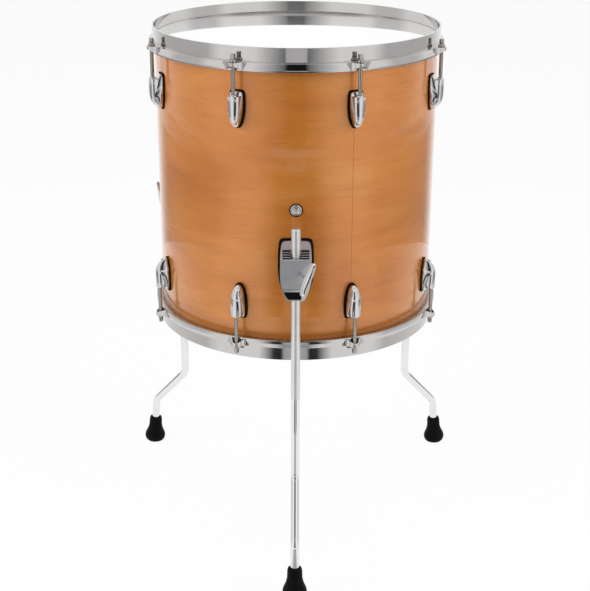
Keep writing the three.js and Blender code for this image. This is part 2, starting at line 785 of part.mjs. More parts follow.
// One leg with its foot, bracket, moulding, shoe and wing bolt.
function makeLegStation(place, azimuth) {
  const station = new THREE.Group();
  station.add(meshOf(`${place}_leg`, makeLeg(), chrome));
  station.add(meshOf(`${place}_foot`, makeFoot(), black));
  const mount = new THREE.Group();
  mount.add(meshOf(`${place}_bracket`, makeBracket(), satin));
  mount.add(meshOf(`${place}_bracket_gasket`, makeGasket(), black));
  mount.add(meshOf(`${place}_clamp_shoe`, makeShoe(), alloy));
  mount.add(meshOf(`${place}_wing_bolt`, makeWingBolt(), chrome));
  mount.position.set(0, -shellRadius, bracketHeight);
  station.add(mount);
  station.rotation.z = azimuth * degree;
  return station;
}

function makeFloorTom() {
  const tom = new THREE.Group();
  const shell = meshOf("shell", makeShell(), maple);
  shell.position.z = shellClearance;
  const vent = meshOf("air_vent", makeVent(), chrome);
  vent.position.set(0, -shellRadius, shellClearance + shellDepth / 2);
  const batter = makeEnd("batter", white);
  batter.position.z = shellTop;
  const resonant = makeEnd("resonant", clear);
  resonant.rotation.y = halfTurn;
  resonant.position.z = shellClearance;
  tom.add(shell, vent, batter, resonant);
  for (const [place, azimuth] of [["front", 0], ["right", legAngle], ["left", -legAngle]])
    tom.add(makeLegStation(place, azimuth));
  return tom;
}

// The floor tom stands on Z = 0 with the middle of its box over the origin.
const tom = makeFloorTom();
tom.updateMatrixWorld(true);
const extent = new THREE.Box3().setFromObject(tom, true);
const middle = extent.getCenter(new THREE.Vector3());
tom.position.set(-middle.x, -middle.y, -extent.min.z);
const root = new THREE.Group();
root.add(tom);
export default root;
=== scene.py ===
import math

import bpy
from mathutils import Matrix, Vector


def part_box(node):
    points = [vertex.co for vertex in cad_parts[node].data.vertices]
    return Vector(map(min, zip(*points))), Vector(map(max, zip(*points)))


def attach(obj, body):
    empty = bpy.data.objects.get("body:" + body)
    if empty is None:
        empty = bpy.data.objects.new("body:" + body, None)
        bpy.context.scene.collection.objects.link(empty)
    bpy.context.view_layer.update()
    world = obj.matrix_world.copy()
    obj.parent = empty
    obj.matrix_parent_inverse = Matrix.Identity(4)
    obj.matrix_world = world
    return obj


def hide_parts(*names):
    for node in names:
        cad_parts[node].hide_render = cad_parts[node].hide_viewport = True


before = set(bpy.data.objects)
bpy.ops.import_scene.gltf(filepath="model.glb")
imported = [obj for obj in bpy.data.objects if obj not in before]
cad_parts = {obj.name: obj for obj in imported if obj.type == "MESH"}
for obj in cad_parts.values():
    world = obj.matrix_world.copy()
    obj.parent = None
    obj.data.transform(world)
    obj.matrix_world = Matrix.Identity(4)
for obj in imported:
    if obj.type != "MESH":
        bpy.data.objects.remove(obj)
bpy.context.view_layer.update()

MM = 0.001
HALF_TURN = math.pi
QUARTER = math.pi / 2

# Places taken from the frame
SHELL_LOW, SHELL_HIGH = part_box("shell")
AXIS_Y = (SHELL_LOW.y + SHELL_HIGH.y) / 2
SHELL_R = (SHELL_HIGH.x - SHELL_LOW.x) / 2
SHELL_MID = (SHELL_LOW.z + SHELL_HIGH.z) / 2
DRUM_AXIS = Vector((0, AXIS_Y, 0))
ROD_COUNT = 8
ROD_STEP = 2 * HALF_TURN / ROD_COUNT

# Fineness of the round forms
DRUM_STEPS = 192
ROD_STEPS = 24
LEG_STEPS = 32
BEND_STEPS = 10
FOOT_STEPS = 48
BOLT_STEPS = 32
BORE_STEPS = 32
VENT_STEPS = 48
CARD_STEPS = 48
CURVE_STEPS = 3

# Angles in degrees that part a smooth surface from an edge
SMOOTH_BELOW = 32
ROUND_ABOVE = 30
BLUNT = 40
LEG_EDGE = 35
WING_EDGE = 60

# Merging distances, and the angle in degrees that still counts as flat
WELD = MM / 500
COARSE_WELD = MM / 50
FLAT_ANGLE = 0.5


# Shaping tools

def deselect():
    if bpy.context.object and bpy.context.object.mode != 'OBJECT':
        bpy.ops.object.mode_set(mode='OBJECT')
    bpy.ops.object.select_all(action='DESELECT')


def pick(*pieces):
    deselect()
    for piece in pieces:
        piece.select_set(True)
    bpy.context.view_layer.objects.active = pieces[0]


def edit(piece):
    pick(piece)
    bpy.ops.object.mode_set(mode='EDIT')
    bpy.ops.mesh.select_all(action='SELECT')


def done():
    bpy.ops.object.mode_set(mode='OBJECT')


def drawn(name, points):
    """A line extruded point by point from a single vertex, left in edit mode with all of it selected."""
    deselect()
    bpy.ops.mesh.primitive_plane_add(size=MM)
    piece = bpy.context.object
    piece.name = name
    bpy.ops.object.mode_set(mode='EDIT')
    bpy.ops.mesh.select_all(action='SELECT')
    bpy.ops.mesh.merge(type='CENTER')
    at = Vector(points[0])
    bpy.ops.transform.translate(value=at)
    for point in points[1:]:
        step = Vector(point) - at
        bpy.ops.mesh.extrude_vertices_move(TRANSFORM_OT_translate={"value": step})
        at = Vector(point)
    bpy.ops.mesh.select_all(action='SELECT')
    return piece


def outline(name, points):
    """A closed outline filled with one face, left in edit mode with the face selected."""
    piece = drawn(name, points)
    bpy.ops.mesh.edge_face_add()
    bpy.ops.mesh.select_all(action='SELECT')
    return piece


def pull(step):
    bpy.ops.mesh.extrude_region_move(TRANSFORM_OT_translate={"value": step})


def slab(name, points, step):
    """A closed outline pulled once into a solid."""
    piece = outline(name, points)
    pull(step)
    tidy()
    done()
    return piece


def spun(name, profile, centre, steps):
    """A profile of (radius, height) pairs turned about an upright axis through centre."""
    points = [(centre[0], centre[1] - r, centre[2] + z) for r, z in profile]
    piece = drawn(name, points)
    bpy.ops.mesh.spin(steps=steps, angle=2 * HALF_TURN, center=centre, axis=(0, 0, 1))
    tidy()
    done()
    return piece


def smooth_loop(corners):
    """Points of a smooth closed line that passes through each corner."""
    count = len(corners)
    points = []
    for i in range(count):
        before, start, end, after = (Vector(corners[(i + k) % count]) for k in (-1, 0, 1, 2))
        for j in range(CURVE_STEPS):
            t = j / CURVE_STEPS
            bow = 2 * before - 5 * start + 4 * end - after
            twist = 3 * start - before - 3 * end + after
            points.append((2 * start + (end - before) * t + bow * t ** 2 + twist * t ** 3) / 2)
    return points


def lofted(name, loops):
    """A closed body through loops with the same number of points: drawn, joined, bridged and capped."""
    lines = []
    for points in loops:
        line = drawn(name, points)
        bpy.ops.mesh.select_all(action='DESELECT')
        done()
        lines.append(line)
    body = joined(name, *lines)
    count = len(loops[0])
    edit(body)
    bpy.ops.mesh.select_mode(type='VERT')
    for i in range(len(loops)):
        choose(body, [i * count, (i + 1) * count - 1])
        bpy.ops.mesh.edge_face_add()
    for i in range(len(loops) - 1):
        choose(body, range(i * count, (i + 2) * count))
        bpy.ops.mesh.select_mode(type='EDGE')
        bpy.ops.mesh.bridge_edge_loops()
        bpy.ops.mesh.select_mode(type='VERT')
    for i in (0, len(loops) - 1):
        choose(body, range(i * count, (i + 1) * count))
        bpy.ops.mesh.edge_face_add()
    tidy()
    done()
    return body


def choose(piece, numbers):
    """Selects vertices by number, in edit mode."""
    bpy.ops.mesh.select_all(action='DESELECT')
    bpy.ops.object.mode_set(mode='OBJECT')
    for number in numbers:
        piece.data.vertices[number].select = True
    bpy.ops.object.mode_set(mode='EDIT')


def block(name, size, place, turn=0):
    """A box of a size in millimetres, turned about X, to cut or to add to another piece."""
    deselect()
    bpy.ops.mesh.primitive_cube_add(size=1, location=place, rotation=(turn, 0, 0))
    piece = bpy.context.object
    piece.name = name
    piece.scale = [length * MM for length in size]
    settle(piece)
    return piece


def bar(name, radius, length, place, steps):
    """An upright round bar, to cut or to add to another piece."""
    deselect()
    bpy.ops.mesh.primitive_cylinder_add(vertices=steps, radius=radius, depth=length, location=place)
    piece = bpy.context.object
    piece.name = name
    settle(piece)
    return piece


def applied(piece, name, kind, **settings):
    """Gives a piece a modifier and applies it."""
    pick(piece)
    modifier = piece.modifiers.new(name, kind)
    for key, value in settings.items():
        setattr(modifier, key, value)
    bpy.ops.object.modifier_apply(modifier=modifier.name)


def combined(piece, tool, operation='DIFFERENCE'):
    """Cuts a tool out of a piece, or keeps what they share, and deletes the tool."""
    applied(piece, "cut", 'BOOLEAN', operation=operation, object=tool)
    discard(tool)


def discard(*pieces):
    for piece in pieces:
        bpy.data.objects.remove(piece)


def cut_flat(piece, point, normal):
    """Bisects a piece and closes it, dropping the side that the normal points to."""
    edit(piece)
    plane = Vector(normal).normalized()
    bpy.ops.mesh.bisect(plane_co=point, plane_no=plane, use_fill=True, clear_outer=True)
    done()


def crisp(piece, width):
    """Small rounds along the edges, with the flat faces kept flat in the light."""
    edit(piece)
    bpy.ops.mesh.remove_doubles(threshold=COARSE_WELD)
    bpy.ops.mesh.dissolve_limited(angle_limit=math.radians(FLAT_ANGLE))
    done()
    rounded(piece, width, angle=BLUNT)
    even_light(piece)


def even_light(piece):
    """Keeps the large faces flat in the light, so that only the rounds between them shade."""
    applied(piece, "even light", 'WEIGHTED_NORMAL', keep_sharp=True)


def tidy():
    bpy.ops.mesh.select_all(action='SELECT')
    bpy.ops.mesh.remove_doubles(threshold=WELD)
    bpy.ops.mesh.normals_make_consistent(inside=False)


def rounded(piece, width, segments=2, angle=ROUND_ABOVE):
    """Rounds the edges sharper than an angle, by a width in millimetres, then shades the piece smooth."""
    applied(piece, "rounded edges", 'BEVEL', width=width * MM, segments=segments, limit_method='ANGLE',
            angle_limit=math.radians(angle), harden_normals=False)
    smooth(piece)


def smooth(piece, angle=SMOOTH_BELOW):
    pick(piece)
    bpy.ops.object.shade_smooth_by_angle(angle=math.radians(angle))


def joined(name, *pieces):
    pick(*pieces)
    bpy.ops.object.join()
    piece = bpy.context.object
    piece.name = name
    return piece


def settle(piece):
    pick(piece)
    bpy.ops.object.transform_apply(location=True, rotation=True, scale=True)


def moved(piece, matrix):
    """Moves a piece to its place, which then lies in the mesh."""
    piece.matrix_world = matrix @ piece.matrix_world
    settle(piece)
    return piece


def copied(piece, name, matrix):
    """A copy with its own mesh, moved to its place."""
    pick(piece)
    bpy.ops.object.duplicate()
    copy = bpy.context.object
    copy.name = name
    return moved(copy, matrix)


def dress(piece, material, slot, body, *nodes):
    """Gives a piece its finish, the body it rides and the nodes it stands for. The slot is not used."""
    piece.data.materials.clear()
    piece.data.materials.append(material)
    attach(piece, body)
    if nodes:
        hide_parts(*nodes)


def turned_about(point, angle, axis='Z'):
    """A turn about an axis through a point."""
    there = Matrix.Translation(point)
    return there @ Matrix.Rotation(angle, 4, axis) @ there.inverted()


def about_drum(angle):
    return turned_about(DRUM_AXIS, angle)


def to_rod(i):
    """The turn from the front to a rod."""
    return about_drum((i + 0.5) * ROD_STEP)


def upside_down():
    """The batter end turned over to the resonant end, about the middle of the shell."""
    return turned_about(Vector((0, AXIS_Y, SHELL_MID)), HALF_TURN, 'Y')


def facing_front(piece, place):
    """Lays a piece made upright at the origin towards the front, from a place."""
    return moved(piece, Matrix.Translation(place) @ Matrix.Rotation(QUARTER, 4, 'X'))


def mm(profile):
    return [(r * MM, z * MM) for r, z in profile]


# Finishes

# The span of a noise that is spread over a range of gloss
NOISE_LOW, NOISE_HIGH = 0.3, 0.7
CLOUD_LOW, CLOUD_HIGH = 0.35, 0.65
SHEEN = 0.03
DIMMEST_PLATE = 0.975
DIMMEST_FILM = 0.985
DIMMEST_BAR = 0.97
DIMMEST_RUBBER, BRIGHTEST_RUBBER = 0.8, 1.25
FILM_SWING, RUBBER_SWING = 0.02, 0.06
PLATE_GRAIN, FILM_GRAIN, BAR_GRAIN = 60, 30, 90
PEBBLE_DETAIL, PEBBLE_ROUGHNESS = 5, 0.7
BUMP_HEIGHT = 0.0003
FIBRE_RELIEF, PEBBLE_RELIEF = 0.004, 0.12


class Finish:
    """A material and short ways to add its nodes."""

    def __init__(self, name):
        self.material = bpy.data.materials.new(name)
        self.material.use_nodes = True
        self.tree = self.material.node_tree
        self.shader = self.tree.nodes["Principled BSDF"]
        self.place = self.tree.nodes.new('ShaderNodeTexCoord').outputs["Object"]

    def set(self, **values):
        for name, value in values.items():
            self.shader.inputs[name.replace("_", " ")].default_value = value
        return self

    def add(self, kind, inputs=None, **settings):
        node = self.tree.nodes.new('ShaderNode' + kind)
        for key, value in settings.items():
            setattr(node, key, value)
        for key, value in (inputs or {}).items():
            self.feed(node.inputs[key], value)
        return node

    def feed(self, socket, value):
        if isinstance(value, bpy.types.NodeSocket):
            self.tree.links.new(value, socket)
        else:
            socket.default_value = value

    def reckon(self, operation, *values):
        return self.add('Math', dict(enumerate(values)), operation=operation).outputs[0]

    def round_drum(self):
        """The angle about the drum from its front, and the height."""
        inputs = {0: self.place, 1: tuple(DRUM_AXIS)}
        centred = self.add('VectorMath', inputs, operation='SUBTRACT').outputs[0]
        across, along, height = self.add('SeparateXYZ', {"Vector": centred}).outputs
        return self.reckon('ARCTAN2', across, self.reckon('MULTIPLY', along, -1.0)), height

    def stretched(self, vector, scale):
        return self.add('Mapping', {"Vector": vector, "Scale": scale}).outputs[0]

    def noise(self, vector, scale, detail=3, roughness=0.55, distortion=0):
        return self.add('TexNoise', {
            "Vector": vector, "Scale": scale, "Detail": detail, "Roughness": roughness,
            "Distortion": distortion}).outputs["Fac"]

    def ramp(self, value, stops):
        node = self.add('ValToRGB', {"Fac": value})
        band = node.color_ramp
        while len(band.elements) < len(stops):
            band.elements.new(0.5)
        for element, (at, colour) in zip(band.elements, stops):
            element.position = at
            element.color = (*colour, 1)
        return node.outputs["Color"]

    def spread(self, value, low, high, out_low, out_high):
        return self.add('MapRange', {
            "Value": value, "From Min": low, "From Max": high,
            "To Min": out_low, "To Max": out_high}).outputs[0]

    def over_noise(self, noise, low, high):
        return self.spread(noise, NOISE_LOW, NOISE_HIGH, low, high)

    def mix(self, share, first, second, mode='MIX'):
        node = self.add('Mix', data_type='RGBA', blend_type=mode)
        self.feed(node.inputs[0], share)
        self.feed(node.inputs[6], first)
        self.feed(node.inputs[7], second)
        return node.outputs[2]

    def bump(self, height, strength):
        node = self.add('Bump', {"Height": height, "Strength": strength, "Distance": BUMP_HEIGHT})
        self.feed(self.shader.inputs["Normal"], node.outputs[0])

    def colour(self, value):
        self.feed(self.shader.inputs["Base Color"], value)

    def gloss(self, value):
        self.feed(self.shader.inputs["Roughness"], value)

    def glow(self, colour):
        return self.add('Emission', {"Color": colour, "Strength": 1.0}).outputs[0]

    def surface(self, value):
        self.feed(self.tree.nodes["Material Output"].inputs["Surface"], value)


def shade(colour, share):
    return tuple(c * share for c in colour)


def plated(name, tint, low, high, metallic=1.0):
    """Metal whose gloss varies a little over the surface."""
    finish = Finish(name).set(Metallic=metallic)
    cloud = finish.noise(finish.place, PLATE_GRAIN)
    finish.colour(finish.ramp(cloud, [(CLOUD_LOW, shade(tint, DIMMEST_PLATE)), (CLOUD_HIGH, tint)]))
    finish.gloss(finish.over_noise(cloud, low, high))
    return finish.material


# Maple's layers of noise: stretch along the grain, scale, detail, roughness and distortion
FIGURE = (0.35, 15, 4, 0.5, 0.6)
BAND = (0.12, 75, 4, 0.6, 0.35)
FIBRE = (0.05, 420, 3, 0.6, 0.0)
FLECK = (0.10, 260, 2, 0.5, 0.0)
# The tones of each layer, and the shares in which the finer ones darken the wood
FIGURE_TONES = [(0.28, (0.520, 0.165, 0.026)), (0.50, (0.590, 0.205, 0.034)), (0.72, (0.645, 0.255, 0.052))]
BAND_TONES = [(0.32, (0.86, 0.82, 0.76)), (0.50, (0.98, 0.97, 0.96)), (0.66, (1.05, 1.06, 1.08))]
FIBRE_TONES = [(0.34, (0.90, 0.87, 0.83)), (0.60, (1, 1, 1))]
FLECK_TONES = [(0.66, (1, 1, 1)), (0.78, (0.80, 0.72, 0.62))]
BAND_SHARE, FIBRE_SHARE, FLECK_SHARE = 0.5, 0.28, 0.3
WOOD_GLOSS = (0.27, 0.31)
# The joint of the veneer, as an angle from the front in radians
SEAM_ANGLE = 0.387
SEAM_HALF_WIDTH = 0.0022
SEAM_TONE = (0.36, 0.11, 0.02, 1)


def maple_finish():
    """Honey-stained maple: long grain running round the shell, under a clear gloss coat."""
    finish = Finish("lacquered maple").set(Coat_Weight=1.0, Coat_Roughness=SHEEN, Coat_IOR=1.5)
    finish.set(Specular_IOR_Level=0.2, Metallic=0.27)
    around, height = finish.round_drum()
    arc = finish.reckon('MULTIPLY', around, SHELL_R)
    grain_at = finish.add('CombineXYZ', {"X": arc, "Y": 0.0, "Z": height}).outputs[0]

    def along(stretch, *noise):
        """Noise drawn out along the grain."""
        return finish.noise(finish.stretched(grain_at, (stretch, 1, 1)), *noise)

    figure, band, fibre, fleck = (along(*layer) for layer in (FIGURE, BAND, FIBRE, FLECK))
    wood = finish.ramp(figure, FIGURE_TONES)
    for noise, tones, share in (
            (band, BAND_TONES, BAND_SHARE), (fibre, FIBRE_TONES, FIBRE_SHARE),
            (fleck, FLECK_TONES, FLECK_SHARE)):
        wood = finish.mix(share, wood, finish.ramp(noise, tones), 'MULTIPLY')
    seam = finish.reckon('COMPARE', around, SEAM_ANGLE, SEAM_HALF_WIDTH)
    finish.colour(finish.mix(seam, wood, SEAM_TONE))
    finish.gloss(finish.over_noise(fibre, *WOOD_GLOSS))
    finish.bump(fibre, FIBRE_RELIEF)
    return finish.material


def film_finish(name, colour, metallic, gloss):
    """Smooth pearl-white film, which mirrors the hoop beside it."""
    finish = Finish(name).set(Metallic=metallic, Coat_Weight=1.0, Coat_Roughness=SHEEN, Coat_IOR=1.6)
    cloud = finish.noise(finish.place, FILM_GRAIN)
    share = finish.over_noise(cloud, 0, 1)
    finish.colour(finish.mix(share, (*colour, 1), (*shade(colour, DIMMEST_FILM), 1)))
    finish.gloss(finish.over_noise(cloud, gloss, gloss + FILM_SWING))
    return finish.material


def moulded_finish(name, colour, gloss, grain):
    """Black moulded rubber with a fine pebble."""
    finish = Finish(name).set(Specular_IOR_Level=0.05)
    pebble = finish.noise(finish.place, grain, PEBBLE_DETAIL, PEBBLE_ROUGHNESS)
    dark, light = (shade(colour, share) for share in (DIMMEST_RUBBER, BRIGHTEST_RUBBER))
    finish.colour(finish.mix(pebble, (*dark, 1), (*light, 1)))
    finish.gloss(finish.over_noise(pebble, gloss - RUBBER_SWING, gloss + RUBBER_SWING))
    finish.bump(pebble, PEBBLE_RELIEF)
    return finish.material


# Heights where the leg's bright bar ends and its satin sleeve begins, and the gloss of the two
BRIGHT_TOP, SATIN_LOW = 0.2735, 0.2745
BRIGHT_GLOSS, SATIN_GLOSS = 0.05, 0.42


def leg_finish(tint):
    """Steel bar: satin above, bright below the step in the leg."""
    finish = Finish("leg chrome").set(Metallic=1.0)
    cloud = finish.noise(finish.stretched(finish.place, (4, 4, 1)), BAR_GRAIN)
    finish.colour(finish.ramp(cloud, [(CLOUD_LOW, shade(tint, DIMMEST_BAR)), (CLOUD_HIGH, tint)]))
    height = finish.add('SeparateXYZ', {"Vector": finish.place}).outputs[2]
    finish.gloss(finish.spread(height, BRIGHT_TOP, SATIN_LOW, BRIGHT_GLOSS, SATIN_GLOSS))
    return finish.material


CHROME = plated("hoop chrome", (0.60, 0.59, 0.583), 0.04, 0.07)
LUG_CHROME = plated("lug chrome", (0.70, 0.69, 0.69), 0.05, 0.09)
ROD_CHROME = plated("rod chrome", (0.42, 0.40, 0.375), 0.12, 0.20)
CASTING = plated("bracket plate", (0.44, 0.435, 0.455), 0.34, 0.42, metallic=0.6)
WING_CHROME = plated("wing bolt chrome", (0.72, 0.71, 0.70), 0.05, 0.10)
# Painted shade: a near-black finish for the fills that stand for the shade in the ears' pockets
POCKET_SHADE_FINISH = plated("painted pocket shade", (0.07, 0.07, 0.072), 0.40, 0.50)
# Painted light: a pale matte finish for the vent's liner, standing in for the light seen inside the vent
VENT_LIGHT_FILL_FINISH = plated("vent liner painted light", (0.88, 0.88, 0.84), 0.40, 0.50, metallic=0.0)
ALLOY = plated("plain alloy", (0.50, 0.505, 0.51), 0.28, 0.38)
MAPLE = maple_finish()
BATTER_FILM = film_finish("smooth white film", (0.95, 0.95, 0.945), 0.5, 0.03)
LOWER_FILM = film_finish("lower film", (0.86, 0.87, 0.86), 0.3, 0.06)
GASKET = moulded_finish("black gasket", (0.005, 0.0045, 0.0045), 0.5, 900)
RUBBER = moulded_finish("foot rubber", (0.0045, 0.0042, 0.0042), 0.5, 700)
LEG_CHROME = leg_finish((0.83, 0.825, 0.82))


# Shell, heads and hoops

# Profiles in millimetres past the shell's face and above its upper edge
BEARING_EDGE = [(0, -1.4), (-0.35, -0.55), (-1.25, 0), (-2.3, 0), (-7.5, -5.2)]
FILM_PROFILE = [(-SHELL_R / MM, 0.8), (-1.6, 0.8), (0.0, 0.55), (0.6, -0.1), (0.8, -0.9), (0.8, -12.5),
                (0.3, -12.5), (0.3, -0.9), (0.0, -0.1), (-0.8, 0.3), (-SHELL_R / MM, 0.3)]
RIM_PROFILE = [(1.1, -6.6), (6.8, -6.6), (6.8, -13.6), (1.1, -13.6), (1.1, -6.6)]
HOOP_PROFILE = [(1.1, 16), (3.8, 16), (3.8, -3.5), (8.0, -3.5), (8.5, -3.9), (9.1, -5.6), (9.6, -8.0),
                (10.0, -11.0), (10.1, -13.2), (9.9, -15), (7.1, -15), (7.1, -6.3), (1.1, -6.3), (1.1, 16)]
# The shell is divided above and below the vent, so that its bore stays in a narrow band
VENT_BAND = 9 * MM
VENT_BORE_R = 5.35 * MM
VENT_BORE_LENGTH = 0.05
VENT_PLACE = (0, AXIS_Y - SHELL_R, SHELL_MID)


def round_shell(name, profile):
    """A profile past the shell's face and above its upper edge, turned about the drum's axis."""
    points = [(SHELL_R + r * MM, z * MM) for r, z in profile]
    return spun(name, points, (0, AXIS_Y, SHELL_HIGH.z), DRUM_STEPS)


def make_shell():
    depth = (SHELL_HIGH.z - SHELL_LOW.z) / MM
    low = [(r, -depth - z) for r, z in BEARING_EDGE]
    shell = round_shell("maple_shell", [*BEARING_EDGE, *reversed(low), BEARING_EDGE[0]])
    for rise in (-VENT_BAND, VENT_BAND):
        edit(shell)
        bpy.ops.mesh.bisect(plane_co=(0, 0, SHELL_MID + rise), plane_no=(0, 0, 1))
        done()
    bore = bar("vent bore", VENT_BORE_R, VENT_BORE_LENGTH, (0, 0, 0), BORE_STEPS)
    combined(shell, facing_front(bore, VENT_PLACE))
    smooth(shell)
    dress(shell, MAPLE, "maple", "drum", "shell")


def make_head(side, place, film, slot):
    head = round_shell("film", FILM_PROFILE)
    smooth(head)
    dress(copied(head, f"{side}_film", place), film, slot, "drum", f"{side}_head")
    discard(head)


def make_rim(side, place):
    rim = round_shell("rim", RIM_PROFILE)
    rounded(rim, 0.6)
    dress(copied(rim, f"{side}_flesh_hoop", place), ALLOY, "alloy", "drum", f"{side}_head_rim")
    discard(rim)


# Half plans of an ear and of its pocket: across from the rod, and out from the shell, in millimetres
EAR_PLAN = [(-15.5, 8.4), (-12.0, 10.0), (-8.8, 13.0), (-6.4, 16.8), (-3.4, 19.8), (0, 20.8)]
POCKET_PLAN = [(-8.4, 9.4), (-6.8, 12.6), (-4.8, 16.2), (-2.5, 18.5), (0, 19.2)]
EAR_TOP = SHELL_HIGH.z - 3.5 * MM
EAR_TIP = Vector((0, AXIS_Y - SHELL_R - 20.8 * MM, EAR_TOP - 4.4 * MM))
EAR_SLOPE = Vector((0, -7, -12.8)).normalized()
# An ear, and the dark fill that paints its pocket's shade: plan, shrink, drop below the ear's top, depth,
# and how far its slope lies in from the ear's
EAR_FORMS = {"ear": (EAR_PLAN, 1, 0, 11.5, 0), "pocket_shade": (POCKET_PLAN, 0.97, 3.0, 9, 1.5)}
POCKET_DROP, POCKET_DEPTH = 3.2, 20
ROD_OUT = 13.8
ROD_BORE_R = 3.1 * MM
ROD_BORE_LENGTH = 0.06


def ear_form(name, plan, shrink, drop, depth):
    """A smooth plan, mirrored about the rod and pulled down from a height below the ear's top."""
    corners = [(x * shrink, r) for x, r in plan]
    corners += [(-x, r) for x, r in reversed(corners[:-1])]
    level = EAR_TOP - drop * MM
    points = [(x * MM, AXIS_Y - SHELL_R - r * MM, level) for x, r in smooth_loop(corners)]
    return slab(name, points, (0, 0, -depth * MM))


def make_ear():
    """An ear for one rod with an open pocket, and a dark fill that paints the shade in the pocket."""
    pieces = []
    for name, (plan, shrink, drop, depth, inward) in EAR_FORMS.items():
        piece = ear_form(name, plan, shrink, drop, depth)
        cut_flat(piece, EAR_TIP - EAR_SLOPE * inward * MM, EAR_SLOPE)
        if name == "ear":
            combined(piece, ear_form("pocket", POCKET_PLAN, 1, POCKET_DROP, POCKET_DEPTH))
        rod_place = (0, AXIS_Y - SHELL_R - ROD_OUT * MM, EAR_TOP)
        combined(piece, bar("rod bore", ROD_BORE_R, ROD_BORE_LENGTH, rod_place, ROD_STEPS))
        rounded(piece, 0.4, angle=BLUNT)
        pieces.append(piece)
    return pieces


def make_hoop(side, place):
    hoop = round_shell("hoop", HOOP_PROFILE)
    rounded(hoop, 0.5, 3)
    even_light(hoop)
    ear, pocket_shade = make_ear()
    even_light(ear)
    turns = [to_rod(i) for i in range(ROD_COUNT)]
    whole = joined("hoop", hoop, *[copied(ear, "ear", turn) for turn in turns])
    # Dark fills in the ears' pockets, which paint the pockets' shade
    pocket_shades = joined(f"{side}_ear_linings", *[copied(pocket_shade, "pocket_shade", place @ turn) for turn in turns])
    dress(pocket_shades, POCKET_SHADE_FINISH, "chrome", "drum")
    dress(copied(whole, f"{side}_cast_hoop", place), CHROME, "chrome", "drum", f"{side}_hoop")
    discard(whole, ear, pocket_shade)


# Tension rods and lugs

# Rod and washer, by radius and height above the shell's edge, and the square head that a key turns
ROD_PROFILE = [(0, -71.2), (2.1, -71.2), (2.7, -70.4), (2.7, -3.2), (5.2, -3.2), (5.2, -1.9), (4.7, -1.7),
               (4.4, -1.0), (4.4, -0.2), (3.2, 0.6), (0, 0.6)]
KEY_SIZE = (5.6, 5.6, 7.4)
KEY_RISE = 3.7 * MM
# Lug, seen from outside with its rod end up, in millimetres from its middle
LUG_DROP = 67.5
LUG_HALF_WIDTH = 11.7
LUG_HALF_HEIGHT = 26
LUG_CORNERS = [(5.2, 26), (8.8, 25.2), (10.7, 22), (11.5, 14), (11.7, 5), (11.1, -4), (9.7, -12),
               (7.3, -19.4), (4.0, -24.6)]
GASKET_SUNK = 0.25
GASKET_DEPTH = 1.7
LUG_MARGIN = 1.7
# The base's rim: low at the rod end, full where it meets the nose at a share of the length, then round
RIM_LOW, RIM_FULL = 4.6, 14.0
RIM_MEETING, RIM_FOOT = 0.58, 0.45
RIM_LEAN, RIM_MORE_LEAN = 0.94, 0.12
RIM_SHORTENED = 0.975
BASE_FOOT = 1.8
COLLAR_OUT = 13.8
COLLAR_PROFILE = [(2.9, 16), (4.3, 16), (4.3, 20.6), (3.7, 21.2), (2.9, 21.2), (2.9, 16)]
# The nose's section, and its stations: distance from the rod end, share of the width and of the depth
NOSE_FOOT = 1.6
NOSE_HALF_WIDTH = 8.2
NOSE_CHEEK = 13.6
NOSE_CAP = 5.4
NOSE_ARC_STEP, NOSE_ARC_END = 12, 180
NOSE_TOP = 19
NOSE_START = 0.95
NOSE_STATIONS = [(0.6, 1.0, 1.0), (7, 1.0, 1.0), (14, 0.985, 1.0), (20, 0.94, 0.995), (25, 0.86, 0.97),
                 (29, 0.77, 0.925), (32.5, 0.67, 0.85), (35.5, 0.55, 0.74), (38, 0.42, 0.60),
                 (40, 0.28, 0.43), (41.2, 0.14, 0.26)]


def make_rod():
    """Rod, washer and square key head for the first station, before its turn to azimuth."""
    centre = (0, AXIS_Y - SHELL_R - ROD_OUT * MM, SHELL_HIGH.z)
    shank = spun("rod", mm(ROD_PROFILE), centre, ROD_STEPS)
    rounded(shank, 0.25)
    key = block("key", KEY_SIZE, (0, centre[1], centre[2] + KEY_RISE))
    rounded(key, 0.7, 3)
    return joined("rod", shank, key)


def lug_plan(margin):
    """Plan of a lug within a margin."""
    wide = 1 - margin / LUG_HALF_WIDTH
    high = 1 - margin / LUG_HALF_HEIGHT
    right = [(x * wide, z * high) for x, z in LUG_CORNERS]
    left = [(-x, z) for x, z in reversed(right)]
    return smooth_loop([*right, (0, -LUG_HALF_HEIGHT * high), *left])


def make_lug_gasket(middle):
    points = [(x * MM, middle.y - GASKET_SUNK * MM, middle.z + z * MM) for x, z in lug_plan(0)]
    gasket = slab("lug gasket", points, (0, -GASKET_DEPTH * MM, 0))
    rounded(gasket, 0.5, angle=BLUNT)
    return gasket


def make_lug(middle):
    """Lug casting: a base whose rim rises to the nose, the nose, and the swivel nut's collar."""
    base = make_lug_base(middle)
    nose = make_nose(middle)
    collar = spun("collar", mm(COLLAR_PROFILE), (0, middle.y - COLLAR_OUT * MM, middle.z), ROD_STEPS)
    rounded(collar, 0.2)
    return joined("lug", base, nose, collar)


def make_lug_base(middle):
    """Steep wall from the gasket to the rim."""
    plan = lug_plan(LUG_MARGIN)
    rim = []
    for x, z in plan:
        share = (LUG_HALF_HEIGHT - z) / (2 * LUG_HALF_HEIGHT)
        if share < RIM_MEETING:
            height = RIM_LOW + (RIM_FULL - RIM_LOW) * share / RIM_MEETING
        else:
            height = RIM_FULL * math.sqrt(1 - ((share - RIM_MEETING) / RIM_FOOT) ** 2)
        lean = RIM_LEAN - RIM_MORE_LEAN * min(1, share / RIM_MEETING)
        rim.append((x * lean, height, z * RIM_SHORTENED))
    at_gasket = [(x, BASE_FOOT, z) for x, z in plan]
    loops = []
    for loop in (at_gasket, rim):
        loops.append([(x * MM, middle.y - y * MM, middle.z + z * MM) for x, y, z in loop])
    base = lofted("lug", loops)
    rounded(base, 0.35, angle=BLUNT)
    return base


